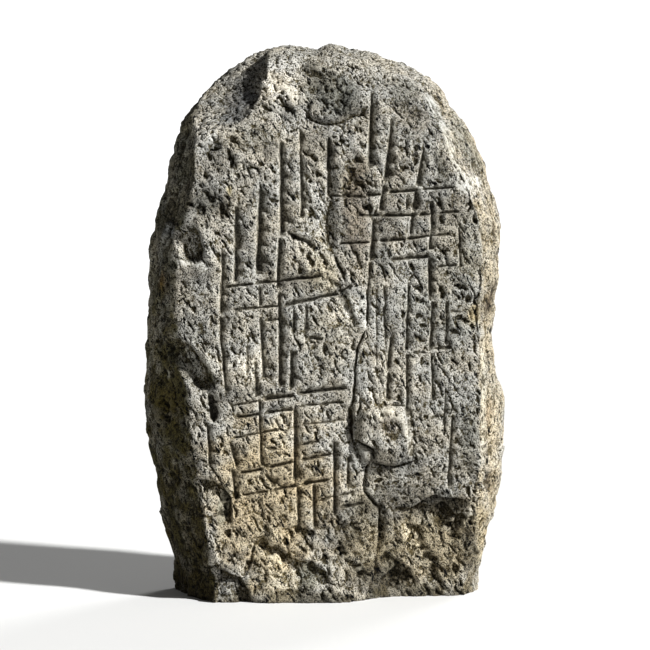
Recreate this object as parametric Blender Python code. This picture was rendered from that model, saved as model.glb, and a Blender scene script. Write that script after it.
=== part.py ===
# Rune stone: one rough, broad slab of rock, standing upright and cut off flat
# at the ground, with rows of straight strokes cut into its front face.
# Metres, +Z up. The front face looks towards -Y and the origin is on the
# ground, under the middle of the stone.

import math

import bmesh
import bpy
import numpy as np
from mathutils import Vector
from mathutils.bvhtree import BVHTree

NODE_NAME = "rune_stone"

# The outline seen from the front, clockwise. Each station gives the girth point
# (across, up) and how far in from it the arris of the front face runs. The feet
# of both sides reach below the ground, where the stone is cut off.
LEFT_SIDE = (
    (-0.314, -0.070, 0.098),
    (-0.337, 0.073, 0.100),
    (-0.354, 0.156, 0.102),
    (-0.387, 0.299, 0.105),
    (-0.398, 0.482, 0.104),
    (-0.383, 0.580, 0.066),
    (-0.389, 0.724, 0.062),
    (-0.382, 0.796, 0.078),
    (-0.352, 0.870, 0.070),
    (-0.321, 0.997, 0.052),
    (-0.272, 1.090, 0.036),
    (-0.203, 1.161, 0.040),
)
TOP = (
    (-0.130, 1.197, 0.042),
    (-0.036, 1.193, 0.042),
    (0.025, 1.201, 0.042),
    (0.116, 1.178, 0.042),
)
RIGHT_SIDE = (
    (0.217, 1.136, 0.044),
    (0.284, 1.056, 0.050),
    (0.324, 0.996, 0.064),
    (0.361, 0.905, 0.062),
    (0.378, 0.820, 0.052),
    (0.382, 0.690, 0.046),
    (0.368, 0.596, 0.038),
    (0.376, 0.486, 0.044),
    (0.391, 0.387, 0.060),
    (0.390, 0.285, 0.058),
    (0.370, 0.139, 0.044),
    (0.345, 0.040, 0.040),
    (0.328, -0.070, 0.038),
)
FOOT = (
    (0.160, -0.120, 0.055),
    (-0.140, -0.120, 0.055),
)

# The front face: how far it stands out at the foot, how far it has leaned back
# a metre up, and how it falls back across and over the top.
FOOT_STANDS_OUT = 0.170
LEAN_PER_METRE = 0.022
CROWN_CENTRE = -0.035
CROWN_HALF_WIDTH = 0.34
CROWN_FALL = 0.014
CROWN_POWER = 4.0
RIGHT_FOOT_FALL = 0.078
RIGHT_FOOT_ACROSS = (0.02, 0.16)
RIGHT_FOOT_UP = (0.42, 0.05)
ROLL_STARTS_UP = 0.93
ROLL_HEIGHT = 0.25
ROLL_DEPTH = 0.105
ROLL_POWER = 1.7

# Girth and back: the girth lies near the middle of the thickness, and the back
# is a plainer, gently domed face set in from the girth.
GIRTH_DEPTH = 0.010
GIRTH_DEPTH_AT_TOP = 0.045
BACK_STANDS_OUT = 0.178
BACK_LEAN_PER_METRE = 0.030
BACK_CROWN_FALL = 0.050
BACK_INSET_PER_FRONT_INSET = 0.55
BACK_INSET = 0.052
FRONT_BULGE = 1.35
FRONT_BULGE_AT_TOP = 1.9
BACK_BULGE = 2.2

# Broken planes of the sides and the back: the way each looks (across, away,
# up) and how far it lies from MIDDLE.
MIDDLE = (0.0, 0.0, 0.58)
BROKEN_PLANES = (
    ((-0.70, 0.68, 0.14), 0.306),
    ((-0.55, 0.80, -0.22), 0.332),
    ((0.66, 0.72, 0.16), 0.304),
    ((0.52, 0.82, -0.22), 0.322),
    ((-0.20, 0.97, 0.10), 0.184),
    ((0.30, 0.95, 0.05), 0.184),
    ((0.05, 0.99, -0.10), 0.212),
    ((0.643, -0.643, 0.415), 0.418),
    ((-0.80, -0.58, 0.10), 0.353),
)
PLANE_SOFTNESS = 0.005

# Corners broken off the front: the way the plane that is left looks, how far it
# lies from MIDDLE, the width of the wall where it ends, and the path of that
# wall. The corner is off on the right-hand side of the path.
BROKEN_CORNERS = (
    ((-0.259, -0.648, 0.717), 0.446, 0.014,
     ((-0.100, 1.230), (-0.118, 1.165), (-0.121, 1.128), (-0.134, 1.096), (-0.152, 1.062), (-0.178, 1.022),
      (-0.191, 1.000), (-0.200, 0.940))),
)

# Hollows (depth above zero) and bosses (below zero) of the front and its
# arrises: centre across and up, half sizes, turn in degrees, depth, how abrupt
# the rim is, and how square the outline (2 is an oval).
HOLLOWS = (
    (-0.286, 0.762, 0.030, 0.046, 14.0, 0.026, 2.6, 2.5),
    (-0.288, 0.512, 0.042, 0.098, 38.0, 0.034, 2.0, 2.2),
    (0.125, 0.353, 0.060, 0.068, 4.0, -0.018, 3.2, 3.5),
    (0.030, 1.075, 0.085, 0.060, 0.0, -0.012, 1.4, 2.0),
    (-0.080, 1.052, 0.014, 0.036, 47.0, 0.012, 1.6, 2.0),
    (0.105, 0.870, 0.075, 0.110, 0.0, 0.006, 1.4, 2.0),
    (0.262, 0.170, 0.050, 0.040, 0.0, 0.012, 1.6, 2.0),
    (0.165, 0.035, 0.050, 0.040, 0.0, 0.012, 1.5, 2.0),
    (-0.331, 0.779, 0.016, 0.032, 14.0, -0.008, 2.0, 2.0),
)

# Broken ledges: the rock drops by the depth given on the right-hand side of the
# path, as one walks along it, over the width of the lip, and comes back over
# the distance given after it.
LEDGES = (
    ("boss undercut", 0.015, 0.010, 0.050,
     ((-0.052, 1.075), (-0.036, 1.036), (-0.011, 1.021), (0.028, 1.021), (0.057, 1.029), (0.098, 1.055))),
    ("main crack, lower part", 0.010, 0.012, 0.110,
     ((0.098, 0.020), (0.119, 0.106), (0.121, 0.189), (0.087, 0.232), (0.087, 0.270))),
    ("main crack, upper part", 0.009, 0.012, 0.060,
     ((0.060, 0.345), (0.053, 0.420), (0.064, 0.499), (0.087, 0.560), (0.091, 0.670))),
    ("right ledge", 0.022, 0.010, 0.060,
     ((0.165, 0.190), (0.185, 0.191), (0.208, 0.204), (0.231, 0.218), (0.265, 0.213), (0.310, 0.208),
      (0.330, 0.222))),
    ("left ledge", 0.020, 0.010, 0.060,
     ((-0.285, 0.263), (-0.238, 0.258), (-0.214, 0.246), (-0.200, 0.222), (-0.197, 0.165))),
    ("left foot chip", 0.020, 0.010, 0.060,
     ((-0.260, 0.082), (-0.216, 0.068), (-0.180, 0.054), (-0.163, 0.028), (-0.152, -0.020))),
    ("middle foot flake", 0.012, 0.010, 0.055,
     ((-0.108, 0.128), (-0.089, 0.108), (-0.055, 0.092), (-0.028, 0.088), (0.000, 0.066), (0.020, 0.030))),
)
LEDGE_END_FADE = 0.030

# Natural cracks and one wide furrow: width at the face, depth, and the path.
CRACKS = (
    (0.012, 0.016,
     ((0.108, 0.034), (0.117, 0.109), (0.125, 0.155), (0.121, 0.189), (0.108, 0.208), (0.089, 0.232),
      (0.087, 0.261), (0.097, 0.305))),
    (0.014, 0.016, ((0.090, 0.330), (0.064, 0.350), (0.057, 0.378), (0.053, 0.408))),
    (0.010, 0.011, ((0.055, 0.426), (0.062, 0.446), (0.064, 0.499), (0.070, 0.546), (0.088, 0.578))),
    (0.010, 0.010, ((0.017, 0.745), (0.034, 0.707), (0.043, 0.680))),
    (0.016, 0.012, ((-0.266, 0.457), (-0.240, 0.457))),
    (0.043, 0.016, ((0.006, 0.790), (0.006, 0.830), (0.012, 0.866), (0.009, 0.930), (0.006, 0.985))),
)

# The carving: straight strokes with a V section, in rows that stand for an
# inscription without being letters. Each stroke gives its first end (across,
# up), its last end (across, up) and its width at the face.
UPRIGHT_STROKES = (
    (-0.217, 0.749, -0.223, 0.611, 0.017),
    (-0.223, 0.605, -0.229, 0.452, 0.019),
    (-0.181, 0.845, -0.182, 0.682, 0.021),
    (-0.127, 0.881, -0.132, 0.702, 0.026),
    (-0.129, 0.609, -0.120, 0.474, 0.023),
    (-0.086, 0.983, -0.083, 0.785, 0.023),
    (-0.086, 0.775, -0.090, 0.700, 0.021),
    (-0.090, 0.660, -0.087, 0.460, 0.022),
    (-0.047, 1.000, -0.041, 0.817, 0.019),
    (-0.062, 0.545, -0.062, 0.458, 0.023),
    (-0.035, 0.630, -0.035, 0.572, 0.015),
    (-0.134, 0.430, -0.129, 0.306, 0.017),
    (-0.055, 0.410, -0.056, 0.270, 0.021),
    (-0.052, 0.248, -0.049, 0.151, 0.018),
    (-0.016, 0.250, -0.016, 0.151, 0.021),
    (0.027, 0.346, 0.028, 0.185, 0.021),
    (0.056, 0.314, 0.057, 0.246, 0.015),
    (-0.236, 0.448, -0.226, 0.387, 0.029),
    (-0.242, 0.378, -0.237, 0.290, 0.018),
    (0.106, 1.089, 0.106, 0.921, 0.025),
    (0.148, 1.031, 0.140, 0.891, 0.029),
    (0.132, 0.870, 0.124, 0.834, 0.019),
    (0.113, 0.817, 0.104, 0.724, 0.021),
    (0.216, 0.971, 0.206, 0.890, 0.019),
    (0.204, 0.872, 0.197, 0.834, 0.023),
    (0.193, 0.820, 0.187, 0.782, 0.017),
    (0.235, 0.850, 0.231, 0.745, 0.018),
    (0.231, 0.738, 0.233, 0.643, 0.023),
    (0.147, 0.569, 0.140, 0.494, 0.026),
    (0.140, 0.486, 0.136, 0.427, 0.018),
    (0.182, 0.681, 0.178, 0.541, 0.021),
    (0.179, 0.528, 0.180, 0.393, 0.019),
    (0.234, 0.636, 0.231, 0.553, 0.021),
    (0.233, 0.536, 0.235, 0.427, 0.018),
    (0.265, 0.643, 0.265, 0.552, 0.021),
    (0.277, 0.399, 0.272, 0.236, 0.022),
)
CROSS_STROKES = (
    (-0.219, 0.673, -0.151, 0.681, 0.014),
    (-0.147, 0.682, -0.010, 0.698, 0.018),
    (-0.197, 0.625, -0.096, 0.635, 0.014),
    (-0.090, 0.636, 0.026, 0.662, 0.019),
    (-0.081, 0.792, -0.021, 0.762, 0.018),
    (-0.134, 0.436, -0.068, 0.446, 0.019),
    (-0.062, 0.448, 0.040, 0.460, 0.022),
    (-0.193, 0.398, -0.134, 0.405, 0.018),
    (-0.129, 0.407, -0.064, 0.415, 0.015),
    (-0.197, 0.353, -0.098, 0.371, 0.014),
    (-0.053, 0.339, -0.013, 0.347, 0.017),
    (-0.185, 0.278, -0.129, 0.289, 0.017),
    (-0.125, 0.291, -0.062, 0.304, 0.018),
    (-0.050, 0.308, 0.018, 0.320, 0.018),
    (-0.117, 0.242, -0.062, 0.253, 0.015),
    (-0.050, 0.256, 0.008, 0.267, 0.021),
    (0.031, 0.206, 0.084, 0.211, 0.017),
    (0.087, 0.868, 0.126, 0.874, 0.017),
    (0.135, 0.877, 0.200, 0.881, 0.019),
    (0.206, 0.881, 0.276, 0.886, 0.014),
    (0.066, 0.826, 0.116, 0.828, 0.017),
    (0.122, 0.827, 0.197, 0.829, 0.019),
    (0.201, 0.829, 0.286, 0.833, 0.015),
    (0.108, 0.773, 0.166, 0.777, 0.019),
    (0.172, 0.777, 0.266, 0.787, 0.017),
    (0.138, 0.733, 0.226, 0.741, 0.018),
    (0.228, 0.544, 0.272, 0.544, 0.018),
)
STROKE_DEPTH_PER_WIDTH = 0.42
STROKE_END_SHARE = 0.35
STROKE_STEP = 0.045
CUTTER_STANDS_PROUD = 0.009

# Rough rock: wavelength and height of each size of lump.
LUMPS = (
    (0.170, 0.0100),
    (0.075, 0.0060),
)
LUMP_SEED = 7

# How finely the surface is faceted.
FRONT_COLUMNS = 26
FRONT_ROWS = 42
GIRTH_STOPS = (0.14, 0.34, 0.64, 1.0)
BACK_STOPS = (0.30, 0.66, 1.0)
BACK_COARSER = 2

STONE_COLOUR = (0.33, 0.31, 0.27, 1.0)
STONE_ROUGHNESS = 0.92


def smooth_step(value, start, end):
    """0 at start, 1 at end, with an eased change between them."""
    share = np.clip((value - start) / (end - start), 0.0, 1.0)
    return share * share * (3.0 - 2.0 * share)


def closed_curve(table, place):
    """Rows of a closed smooth curve (Catmull-Rom) through the table's rows; place counts rows."""
    count = len(table)
    first = np.floor(place).astype(int)
    t = (place - first)[:, None]
    before, start, end, after = (table[(first + step) % count] for step in (-1, 0, 1, 2))
    return 0.5 * (2.0 * start + (end - before) * t
                  + (2.0 * before - 5.0 * start + 4.0 * end - after) * t ** 2
                  + (3.0 * (start - end) + after - before) * t ** 3)


def even_places(table, first, last, count):
    """Places between two stations, evenly spaced along the curve."""
    fine = np.linspace(first, last, 600)
    steps = np.diff(closed_curve(table, fine)[:, :2], axis=0)
    run = np.concatenate([[0.0], np.cumsum(np.hypot(steps[:, 0], steps[:, 1]))])
    return np.interp(np.linspace(0.0, run[-1], count + 1), run, fine)


def outline_places(columns, rows):
    """Places of every rib, clockwise from the foot of the left side, and the stations' table."""
    table = np.array(LEFT_SIDE + TOP + RIGHT_SIDE + FOOT)
    corners = (0, len(LEFT_SIDE) - 1, len(LEFT_SIDE) + len(TOP), len(LEFT_SIDE + TOP + RIGHT_SIDE) - 1)
    spans = (
        (corners[0], corners[1], rows),
        (corners[1], corners[2], columns),
        (corners[2], corners[3], rows),
        (corners[3], len(table), columns),
    )
    places = np.concatenate([even_places(table, *span)[:-1] for span in spans])
    return places, table


def girth_and_arrises(columns, rows):
    """Outline points (across, up) of the girth, the front arris and the back arris."""
    places, table = outline_places(columns, rows)
    girth = closed_curve(table, places)
    ahead = closed_curve(table, places + 0.6)[:, :2]
    behind = closed_curve(table, places - 0.6)[:, :2]
    along = ahead - behind
    along /= np.linalg.norm(along, axis=1)[:, None]
    inward = np.column_stack([along[:, 1], -along[:, 0]])
    front = girth[:, :2] + inward * girth[:, 2:3]
    back = girth[:, :2] + inward * (BACK_INSET + BACK_INSET_PER_FRONT_INSET * girth[:, 2:3])
    return girth[:, :2], front, back


def front_depth(across, up):
    """Y of the front face before any break."""
    lean = LEAN_PER_METRE * up
    crown = CROWN_FALL * np.abs((across - CROWN_CENTRE) / CROWN_HALF_WIDTH) ** CROWN_POWER
    foot = RIGHT_FOOT_FALL * smooth_step(across, *RIGHT_FOOT_ACROSS) * smooth_step(up, *RIGHT_FOOT_UP)
    roll = ROLL_DEPTH * (np.clip(up - ROLL_STARTS_UP, 0.0, None) / ROLL_HEIGHT) ** ROLL_POWER
    return -FOOT_STANDS_OUT + lean + crown + foot + roll


def back_depth(across, up):
    """Y of the back face."""
    crown = BACK_CROWN_FALL * (np.abs(across) / CROWN_HALF_WIDTH) ** 2
    roll = ROLL_DEPTH * (np.clip(up - ROLL_STARTS_UP, 0.0, None) / ROLL_HEIGHT) ** ROLL_POWER
    return BACK_STANDS_OUT - BACK_LEAN_PER_METRE * up - crown - roll


def filled_patch(rim, columns, rows):
    """Points (across, up) of a grid spread evenly inside the closed rim (a Coons patch)."""
    left = rim[:rows + 1]
    top = rim[rows:rows + columns + 1]
    right = rim[rows + columns:2 * rows + columns + 1][::-1]
    bottom = np.concatenate([rim[2 * rows + columns:], rim[:1]])[::-1]
    u = np.linspace(0.0, 1.0, columns + 1)[None, :, None]
    v = np.linspace(0.0, 1.0, rows + 1)[:, None, None]
    ruled_up = (1 - v) * bottom[None] + v * top[None]
    ruled_across = (1 - u) * left[:, None] + u * right[:, None]
    corners = ((1 - u) * (1 - v) * left[0] + u * (1 - v) * right[0]
               + (1 - u) * v * left[-1] + u * v * right[-1])
    return ruled_up + ruled_across - corners


def rim_numbers(columns, rows):
    """Positions in the patch of the rim's points, in the rim's own order."""
    grid = np.arange((columns + 1) * (rows + 1)).reshape(rows + 1, columns + 1)
    return np.concatenate([grid[:-1, 0], grid[-1, :-1], grid[:0:-1, -1], grid[0, :0:-1]])


def belt_point(start, girth, share, bulge, start_y, girth_y):
    """Points a share of the way from an arris (share 0) to the girth (share 1)."""
    reach = 1.0 - (1.0 - share) ** bulge
    flat = start + (girth - start) * reach[:, None]
    return np.column_stack([flat[:, 0], start_y + (girth_y - start_y) * share, flat[:, 1]])


def smooth_body(columns, rows):
    """Points and faces of the stone before its breaks: front patch, belt of ribs, back patch."""
    girth, front_rim, back_rim = girth_and_arrises(columns, rows)
    topness = smooth_step(girth[:, 1], 0.95, 1.15)
    girth_y = GIRTH_DEPTH + (GIRTH_DEPTH_AT_TOP - GIRTH_DEPTH) * topness
    front_bulge = FRONT_BULGE + (FRONT_BULGE_AT_TOP - FRONT_BULGE) * topness
    front_y = front_depth(front_rim[:, 0], front_rim[:, 1])
    back_y = back_depth(back_rim[:, 0], back_rim[:, 1])

    patch = filled_patch(front_rim, columns, rows).reshape(-1, 2)
    points = [np.column_stack([patch[:, 0], front_depth(patch[:, 0], patch[:, 1]), patch[:, 1]])]
    rings = [rim_numbers(columns, rows)]
    total = len(patch)
    ribs = len(girth)
    for stop in GIRTH_STOPS:
        share = np.full(ribs, stop)
        points.append(belt_point(front_rim, girth, share, front_bulge, front_y, girth_y))
        rings.append(total + np.arange(ribs))
        total += ribs
    for stop in BACK_STOPS[:-1]:
        share = np.full(ribs, 1.0 - stop)
        points.append(belt_point(back_rim, girth, share, BACK_BULGE, back_y, girth_y))
        rings.append(total + np.arange(ribs))
        total += ribs

    back_columns = columns // BACK_COARSER
    back_rows = rows // BACK_COARSER
    patch = filled_patch(back_rim[::BACK_COARSER], back_columns, back_rows).reshape(-1, 2)
    points.append(np.column_stack([patch[:, 0], back_depth(patch[:, 0], patch[:, 1]), patch[:, 1]]))
    back_ring = total + rim_numbers(back_columns, back_rows)

    faces = patch_faces(columns, rows, 0, False)
    for near, far in zip(rings[:-1], rings[1:]):
        faces += np.column_stack([near, np.roll(near, -1), np.roll(far, -1), far]).tolist()
    faces += zipped_faces(rings[-1], back_ring)
    faces += patch_faces(back_columns, back_rows, total, True)
    return np.concatenate(points), faces


def patch_faces(columns, rows, first, faces_away):
    """Quads of a patch whose points start at number first."""
    grid = first + np.arange((columns + 1) * (rows + 1)).reshape(rows + 1, columns + 1)
    quads = [grid[:-1, :-1], grid[:-1, 1:], grid[1:, 1:], grid[1:, :-1]]
    if faces_away:
        quads.reverse()
    return np.stack(quads, axis=-1).reshape(-1, 4).tolist()


def zipped_faces(fine, coarse):
    """Triangles and quads between a ring and one with half as many points."""
    fine_next = np.roll(fine, -1)
    fine_after = np.roll(fine, -2)
    coarse_next = np.roll(coarse, -1)
    near = np.column_stack([fine[::2], fine_next[::2], coarse]).tolist()
    far = np.column_stack([fine_next[::2], fine_after[::2], coarse_next, coarse]).tolist()
    return near + far


def point_normals(points, faces):
    """Outward unit normals, each the mean of the faces around a point."""
    normals = np.zeros_like(points)
    for size in (3, 4):
        chosen = np.array([face for face in faces if len(face) == size])
        if len(chosen) == 0:
            continue
        crosswise = np.cross(points[chosen[:, 2]] - points[chosen[:, 0]],
                             points[chosen[:, -1]] - points[chosen[:, 1]])
        for corner in range(size):
            np.add.at(normals, chosen[:, corner], crosswise)
    return normals / np.linalg.norm(normals, axis=1)[:, None]


def lattice_noise(points, seed):
    """Smooth noise about -1 to 1 in three dimensions (gradient noise on a unit lattice)."""
    generator = np.random.default_rng(seed)
    order = generator.permutation(256)
    order = np.concatenate([order, order, order])
    slopes = generator.normal(size=(256, 3))
    slopes /= np.linalg.norm(slopes, axis=1)[:, None]
    cell = np.floor(points).astype(int)
    inside = points - cell
    cell &= 255
    ease = inside ** 3 * (inside * (inside * 6.0 - 15.0) + 10.0)
    total = np.zeros(len(points))
    for corner in np.ndindex(2, 2, 2):
        step = np.array(corner)
        hashed = order[order[order[cell[:, 0] + step[0]] + cell[:, 1] + step[1]] + cell[:, 2] + step[2]]
        weight = np.prod(np.where(step, ease, 1.0 - ease), axis=1)
        total += weight * np.einsum("ij,ij->i", slopes[hashed], inside - step)
    return 1.6 * total


def path_measures(across, up, path):
    """Distance to a path, which side (1 right, -1 left), distance along it, and its length."""
    best = np.full(across.shape, np.inf)
    side = np.ones(across.shape)
    along = np.zeros(across.shape)
    run = 0.0
    for (x0, z0), (x1, z1) in zip(path[:-1], path[1:]):
        length = math.hypot(x1 - x0, z1 - z0)
        ux = (x1 - x0) / length
        uz = (z1 - z0) / length
        place = np.clip((across - x0) * ux + (up - z0) * uz, 0.0, length)
        off_x = across - x0 - ux * place
        off_z = up - z0 - uz * place
        distance = np.hypot(off_x, off_z)
        nearer = distance < best
        best = np.where(nearer, distance, best)
        side = np.where(nearer, np.where(off_x * uz - off_z * ux >= 0.0, 1.0, -1.0), side)
        along = np.where(nearer, run + place, along)
        run += length
    return best, side, along, run


def hollow_depth(across, up, centre_x, centre_z, half_width, half_height, turn, depth, abrupt, square):
    """Depth of an oval hollow, deepest at its centre and flat beyond its rim."""
    angle = math.radians(turn)
    dx = across - centre_x
    dz = up - centre_z
    u = np.abs(dx * math.cos(angle) + dz * math.sin(angle)) / half_width
    v = np.abs(dz * math.cos(angle) - dx * math.sin(angle)) / half_height
    reach = (u ** square + v ** square) ** (1.0 / square)
    return depth * smooth_step(abrupt * (1.0 - reach), 0.0, 1.0)


def ledge_depth(across, up, depth, lip, fade, path):
    """Depth of the drop beside a broken ledge."""
    distance, side, along, length = path_measures(across, up, path)
    signed = distance * side
    drop = smooth_step(signed, -0.5 * lip, 0.5 * lip) * np.exp(-np.clip(signed, 0.0, None) / fade)
    ends = np.clip(np.minimum(along, length - along) / LEDGE_END_FADE, 0.0, 1.0)
    return depth * drop * ends


def break_depth(across, up):
    """How far the breaks of the front go into the stone, in all."""
    depth = np.zeros(across.shape)
    for hollow in HOLLOWS:
        depth += hollow_depth(across, up, *hollow)
    for _, drop, lip, fade, path in LEDGES:
        depth += ledge_depth(across, up, drop, lip, fade, path)
    return depth


def clipped_to_planes(points):
    """Points beyond a broken plane are laid on it, with a soft change at its edge."""
    for way, distance in BROKEN_PLANES:
        normal = np.array(way) / np.linalg.norm(way)
        beyond = (points - MIDDLE) @ normal - distance
        pushed = PLANE_SOFTNESS * np.logaddexp(0.0, beyond / PLANE_SOFTNESS)
        points = points - pushed[:, None] * normal
    return points


def without_corners(points):
    """Points of a corner that is broken off are laid on the plane that is left."""
    for way, distance, wall, path in BROKEN_CORNERS:
        normal = np.array(way) / np.linalg.norm(way)
        beyond = (points - MIDDLE) @ normal - distance
        away, side, _, _ = path_measures(points[:, 0], points[:, 2], path)
        share = smooth_step(away * side, -0.5 * wall, 0.5 * wall)
        pushed = share * PLANE_SOFTNESS * np.logaddexp(0.0, beyond / PLANE_SOFTNESS)
        points = points - pushed[:, None] * normal
    return points


def rough_body():
    """Points and faces of the whole broken surface, still uncut at the ground."""
    points, faces = smooth_body(FRONT_COLUMNS, FRONT_ROWS)
    points = without_corners(clipped_to_planes(points))
    normals = point_normals(points, faces)
    faces_front = smooth_step(-normals[:, 1], 0.05, 0.45)
    lumps = np.zeros(len(points))
    for number, (wavelength, height) in enumerate(LUMPS):
        lumps += height * lattice_noise(points / wavelength, LUMP_SEED + number)
    depth = break_depth(points[:, 0], points[:, 2]) * faces_front
    return points + normals * (lumps - depth)[:, None], faces


def stone_material():
    material = bpy.data.materials.new("rough stone")
    material.use_nodes = True
    shader = material.node_tree.nodes["Principled BSDF"]
    shader.inputs["Base Color"].default_value = STONE_COLOUR
    shader.inputs["Roughness"].default_value = STONE_ROUGHNESS
    shader.inputs["Metallic"].default_value = 0.0
    return material


def cut_at_ground(solid):
    """Cuts the body off flat at z = 0 and closes it with one flat face."""
    everything = solid.verts[:] + solid.edges[:] + solid.faces[:]
    bmesh.ops.bisect_plane(solid, geom=everything, dist=1e-6, plane_co=(0.0, 0.0, 0.0),
                           plane_no=(0.0, 0.0, 1.0), clear_inner=True)
    rim = [edge for edge in solid.edges if edge.is_boundary]
    bmesh.ops.holes_fill(solid, edges=rim, sides=0)


def add_stone():
    points, faces = rough_body()
    solid = bmesh.new()
    corners = [solid.verts.new(point) for point in points]
    for face in faces:
        solid.faces.new([corners[number] for number in face])
    bmesh.ops.recalc_face_normals(solid, faces=solid.faces[:])
    cut_at_ground(solid)
    bmesh.ops.triangulate(solid, faces=solid.faces[:])
    mesh = bpy.data.meshes.new(NODE_NAME)
    solid.to_mesh(mesh)
    tree = BVHTree.FromBMesh(solid)
    solid.free()
    mesh.materials.append(stone_material())
    stone = bpy.data.objects.new(NODE_NAME, mesh)
    bpy.context.scene.collection.objects.link(stone)
    return stone, tree


def face_y(tree, across, up):
    """Y of the stone's front surface at a place, found along +Y."""
    hit = tree.ray_cast(Vector((across, -1.0, up)), Vector((0.0, 1.0, 0.0)))[0]
    return hit.y


def add_groove(solid, tree, path, width, depth, tapers):
    """Adds one closed V-shaped bar that follows the front surface along the path."""
    sections = []
    last = len(path) - 1
    for number, (across, up) in enumerate(path):
        ahead = path[min(number + 1, last)]
        behind = path[max(number - 1, 0)]
        along = Vector((ahead[0] - behind[0], 0.0, ahead[1] - behind[1])).normalized()
        sideways = Vector((along.z, 0.0, -along.x))
        share = STROKE_END_SHARE if tapers and number in (0, last) else 1.0
        half = 0.5 * width * share
        middle = Vector((across, face_y(tree, across, up), up))
        inward = Vector((0.0, depth * share, 0.0))
        proud = Vector((0.0, -CUTTER_STANDS_PROUD, 0.0))
        section = (
            middle + inward,
            middle + sideways * half,
            middle + sideways * half + proud,
            middle - sideways * half + proud,
            middle - sideways * half,
        )
        sections.append([solid.verts.new(point) for point in section])
    for near, far in zip(sections[:-1], sections[1:]):
        for corner in range(5):
            following = (corner + 1) % 5
            solid.faces.new((near[corner], near[following], far[following], far[corner]))
    solid.faces.new(sections[0][::-1])
    solid.faces.new(sections[-1])


def stroke_path(x0, z0, x1, z1):
    """Points along a straight stroke, with short tapered ends."""
    length = math.hypot(x1 - x0, z1 - z0)
    end = min(0.012, 0.25 * length) / length
    pieces = max(1, round(length * (1.0 - 2.0 * end) / STROKE_STEP))
    shares = [0.0] + [end + (1.0 - 2.0 * end) * step / pieces for step in range(pieces + 1)] + [1.0]
    return [(x0 + (x1 - x0) * share, z0 + (z1 - z0) * share) for share in shares]


def cut_grooves(stone, tree, name, grooves):
    """Cuts one set of grooves, none of which touches another of its set."""
    solid = bmesh.new()
    for path, width, depth, tapers in grooves:
        add_groove(solid, tree, path, width, depth, tapers)
    bmesh.ops.recalc_face_normals(solid, faces=solid.faces[:])
    mesh = bpy.data.meshes.new(name)
    solid.to_mesh(mesh)
    solid.free()
    cutter = bpy.data.objects.new(name, mesh)
    cutter.hide_render = True
    cutter.display_type = "WIRE"
    bpy.context.scene.collection.objects.link(cutter)
    cut = stone.modifiers.new(name, "BOOLEAN")
    cut.operation = "DIFFERENCE"
    cut.solver = "EXACT"
    cut.object = cutter


def stroke_grooves(strokes):
    return [(stroke_path(*stroke[:4]), stroke[4], stroke[4] * STROKE_DEPTH_PER_WIDTH, True) for stroke in strokes]


def main():
    for thing in list(bpy.data.objects):
        bpy.data.objects.remove(thing, do_unlink=True)
    stone, tree = add_stone()
    cut_grooves(stone, tree, "upright_stroke_cutter", stroke_grooves(UPRIGHT_STROKES))
    cut_grooves(stone, tree, "cross_stroke_cutter", stroke_grooves(CROSS_STROKES))
    cracks = [(list(path), width, depth, True) for width, depth, path in CRACKS]
    cut_grooves(stone, tree, "crack_cutter", cracks)


main()
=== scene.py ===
# Rune stone: the broken, pitted surface of one slab of rock, with rows of
# straight strokes cut in its front face. Metres, +Z up, the front looks
# towards -Y, and the origin is on the ground under the middle of the stone.
# Rows that place something on the front are in whole millimetres, across and up.
import math

import bmesh
import bpy
import numpy as np
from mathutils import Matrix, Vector


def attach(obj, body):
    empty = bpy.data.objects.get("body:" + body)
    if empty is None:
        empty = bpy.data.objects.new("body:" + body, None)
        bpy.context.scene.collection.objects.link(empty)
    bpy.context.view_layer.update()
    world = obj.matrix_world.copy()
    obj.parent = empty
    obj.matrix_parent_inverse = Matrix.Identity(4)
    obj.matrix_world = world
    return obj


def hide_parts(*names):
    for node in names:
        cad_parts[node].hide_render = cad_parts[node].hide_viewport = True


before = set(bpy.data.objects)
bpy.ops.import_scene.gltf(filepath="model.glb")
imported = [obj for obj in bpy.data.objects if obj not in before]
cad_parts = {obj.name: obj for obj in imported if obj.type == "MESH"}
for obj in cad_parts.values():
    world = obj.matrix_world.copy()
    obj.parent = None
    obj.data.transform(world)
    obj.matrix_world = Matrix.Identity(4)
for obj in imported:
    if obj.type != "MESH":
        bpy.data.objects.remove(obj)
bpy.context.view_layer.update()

print("frame loaded:", sorted(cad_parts))

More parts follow.
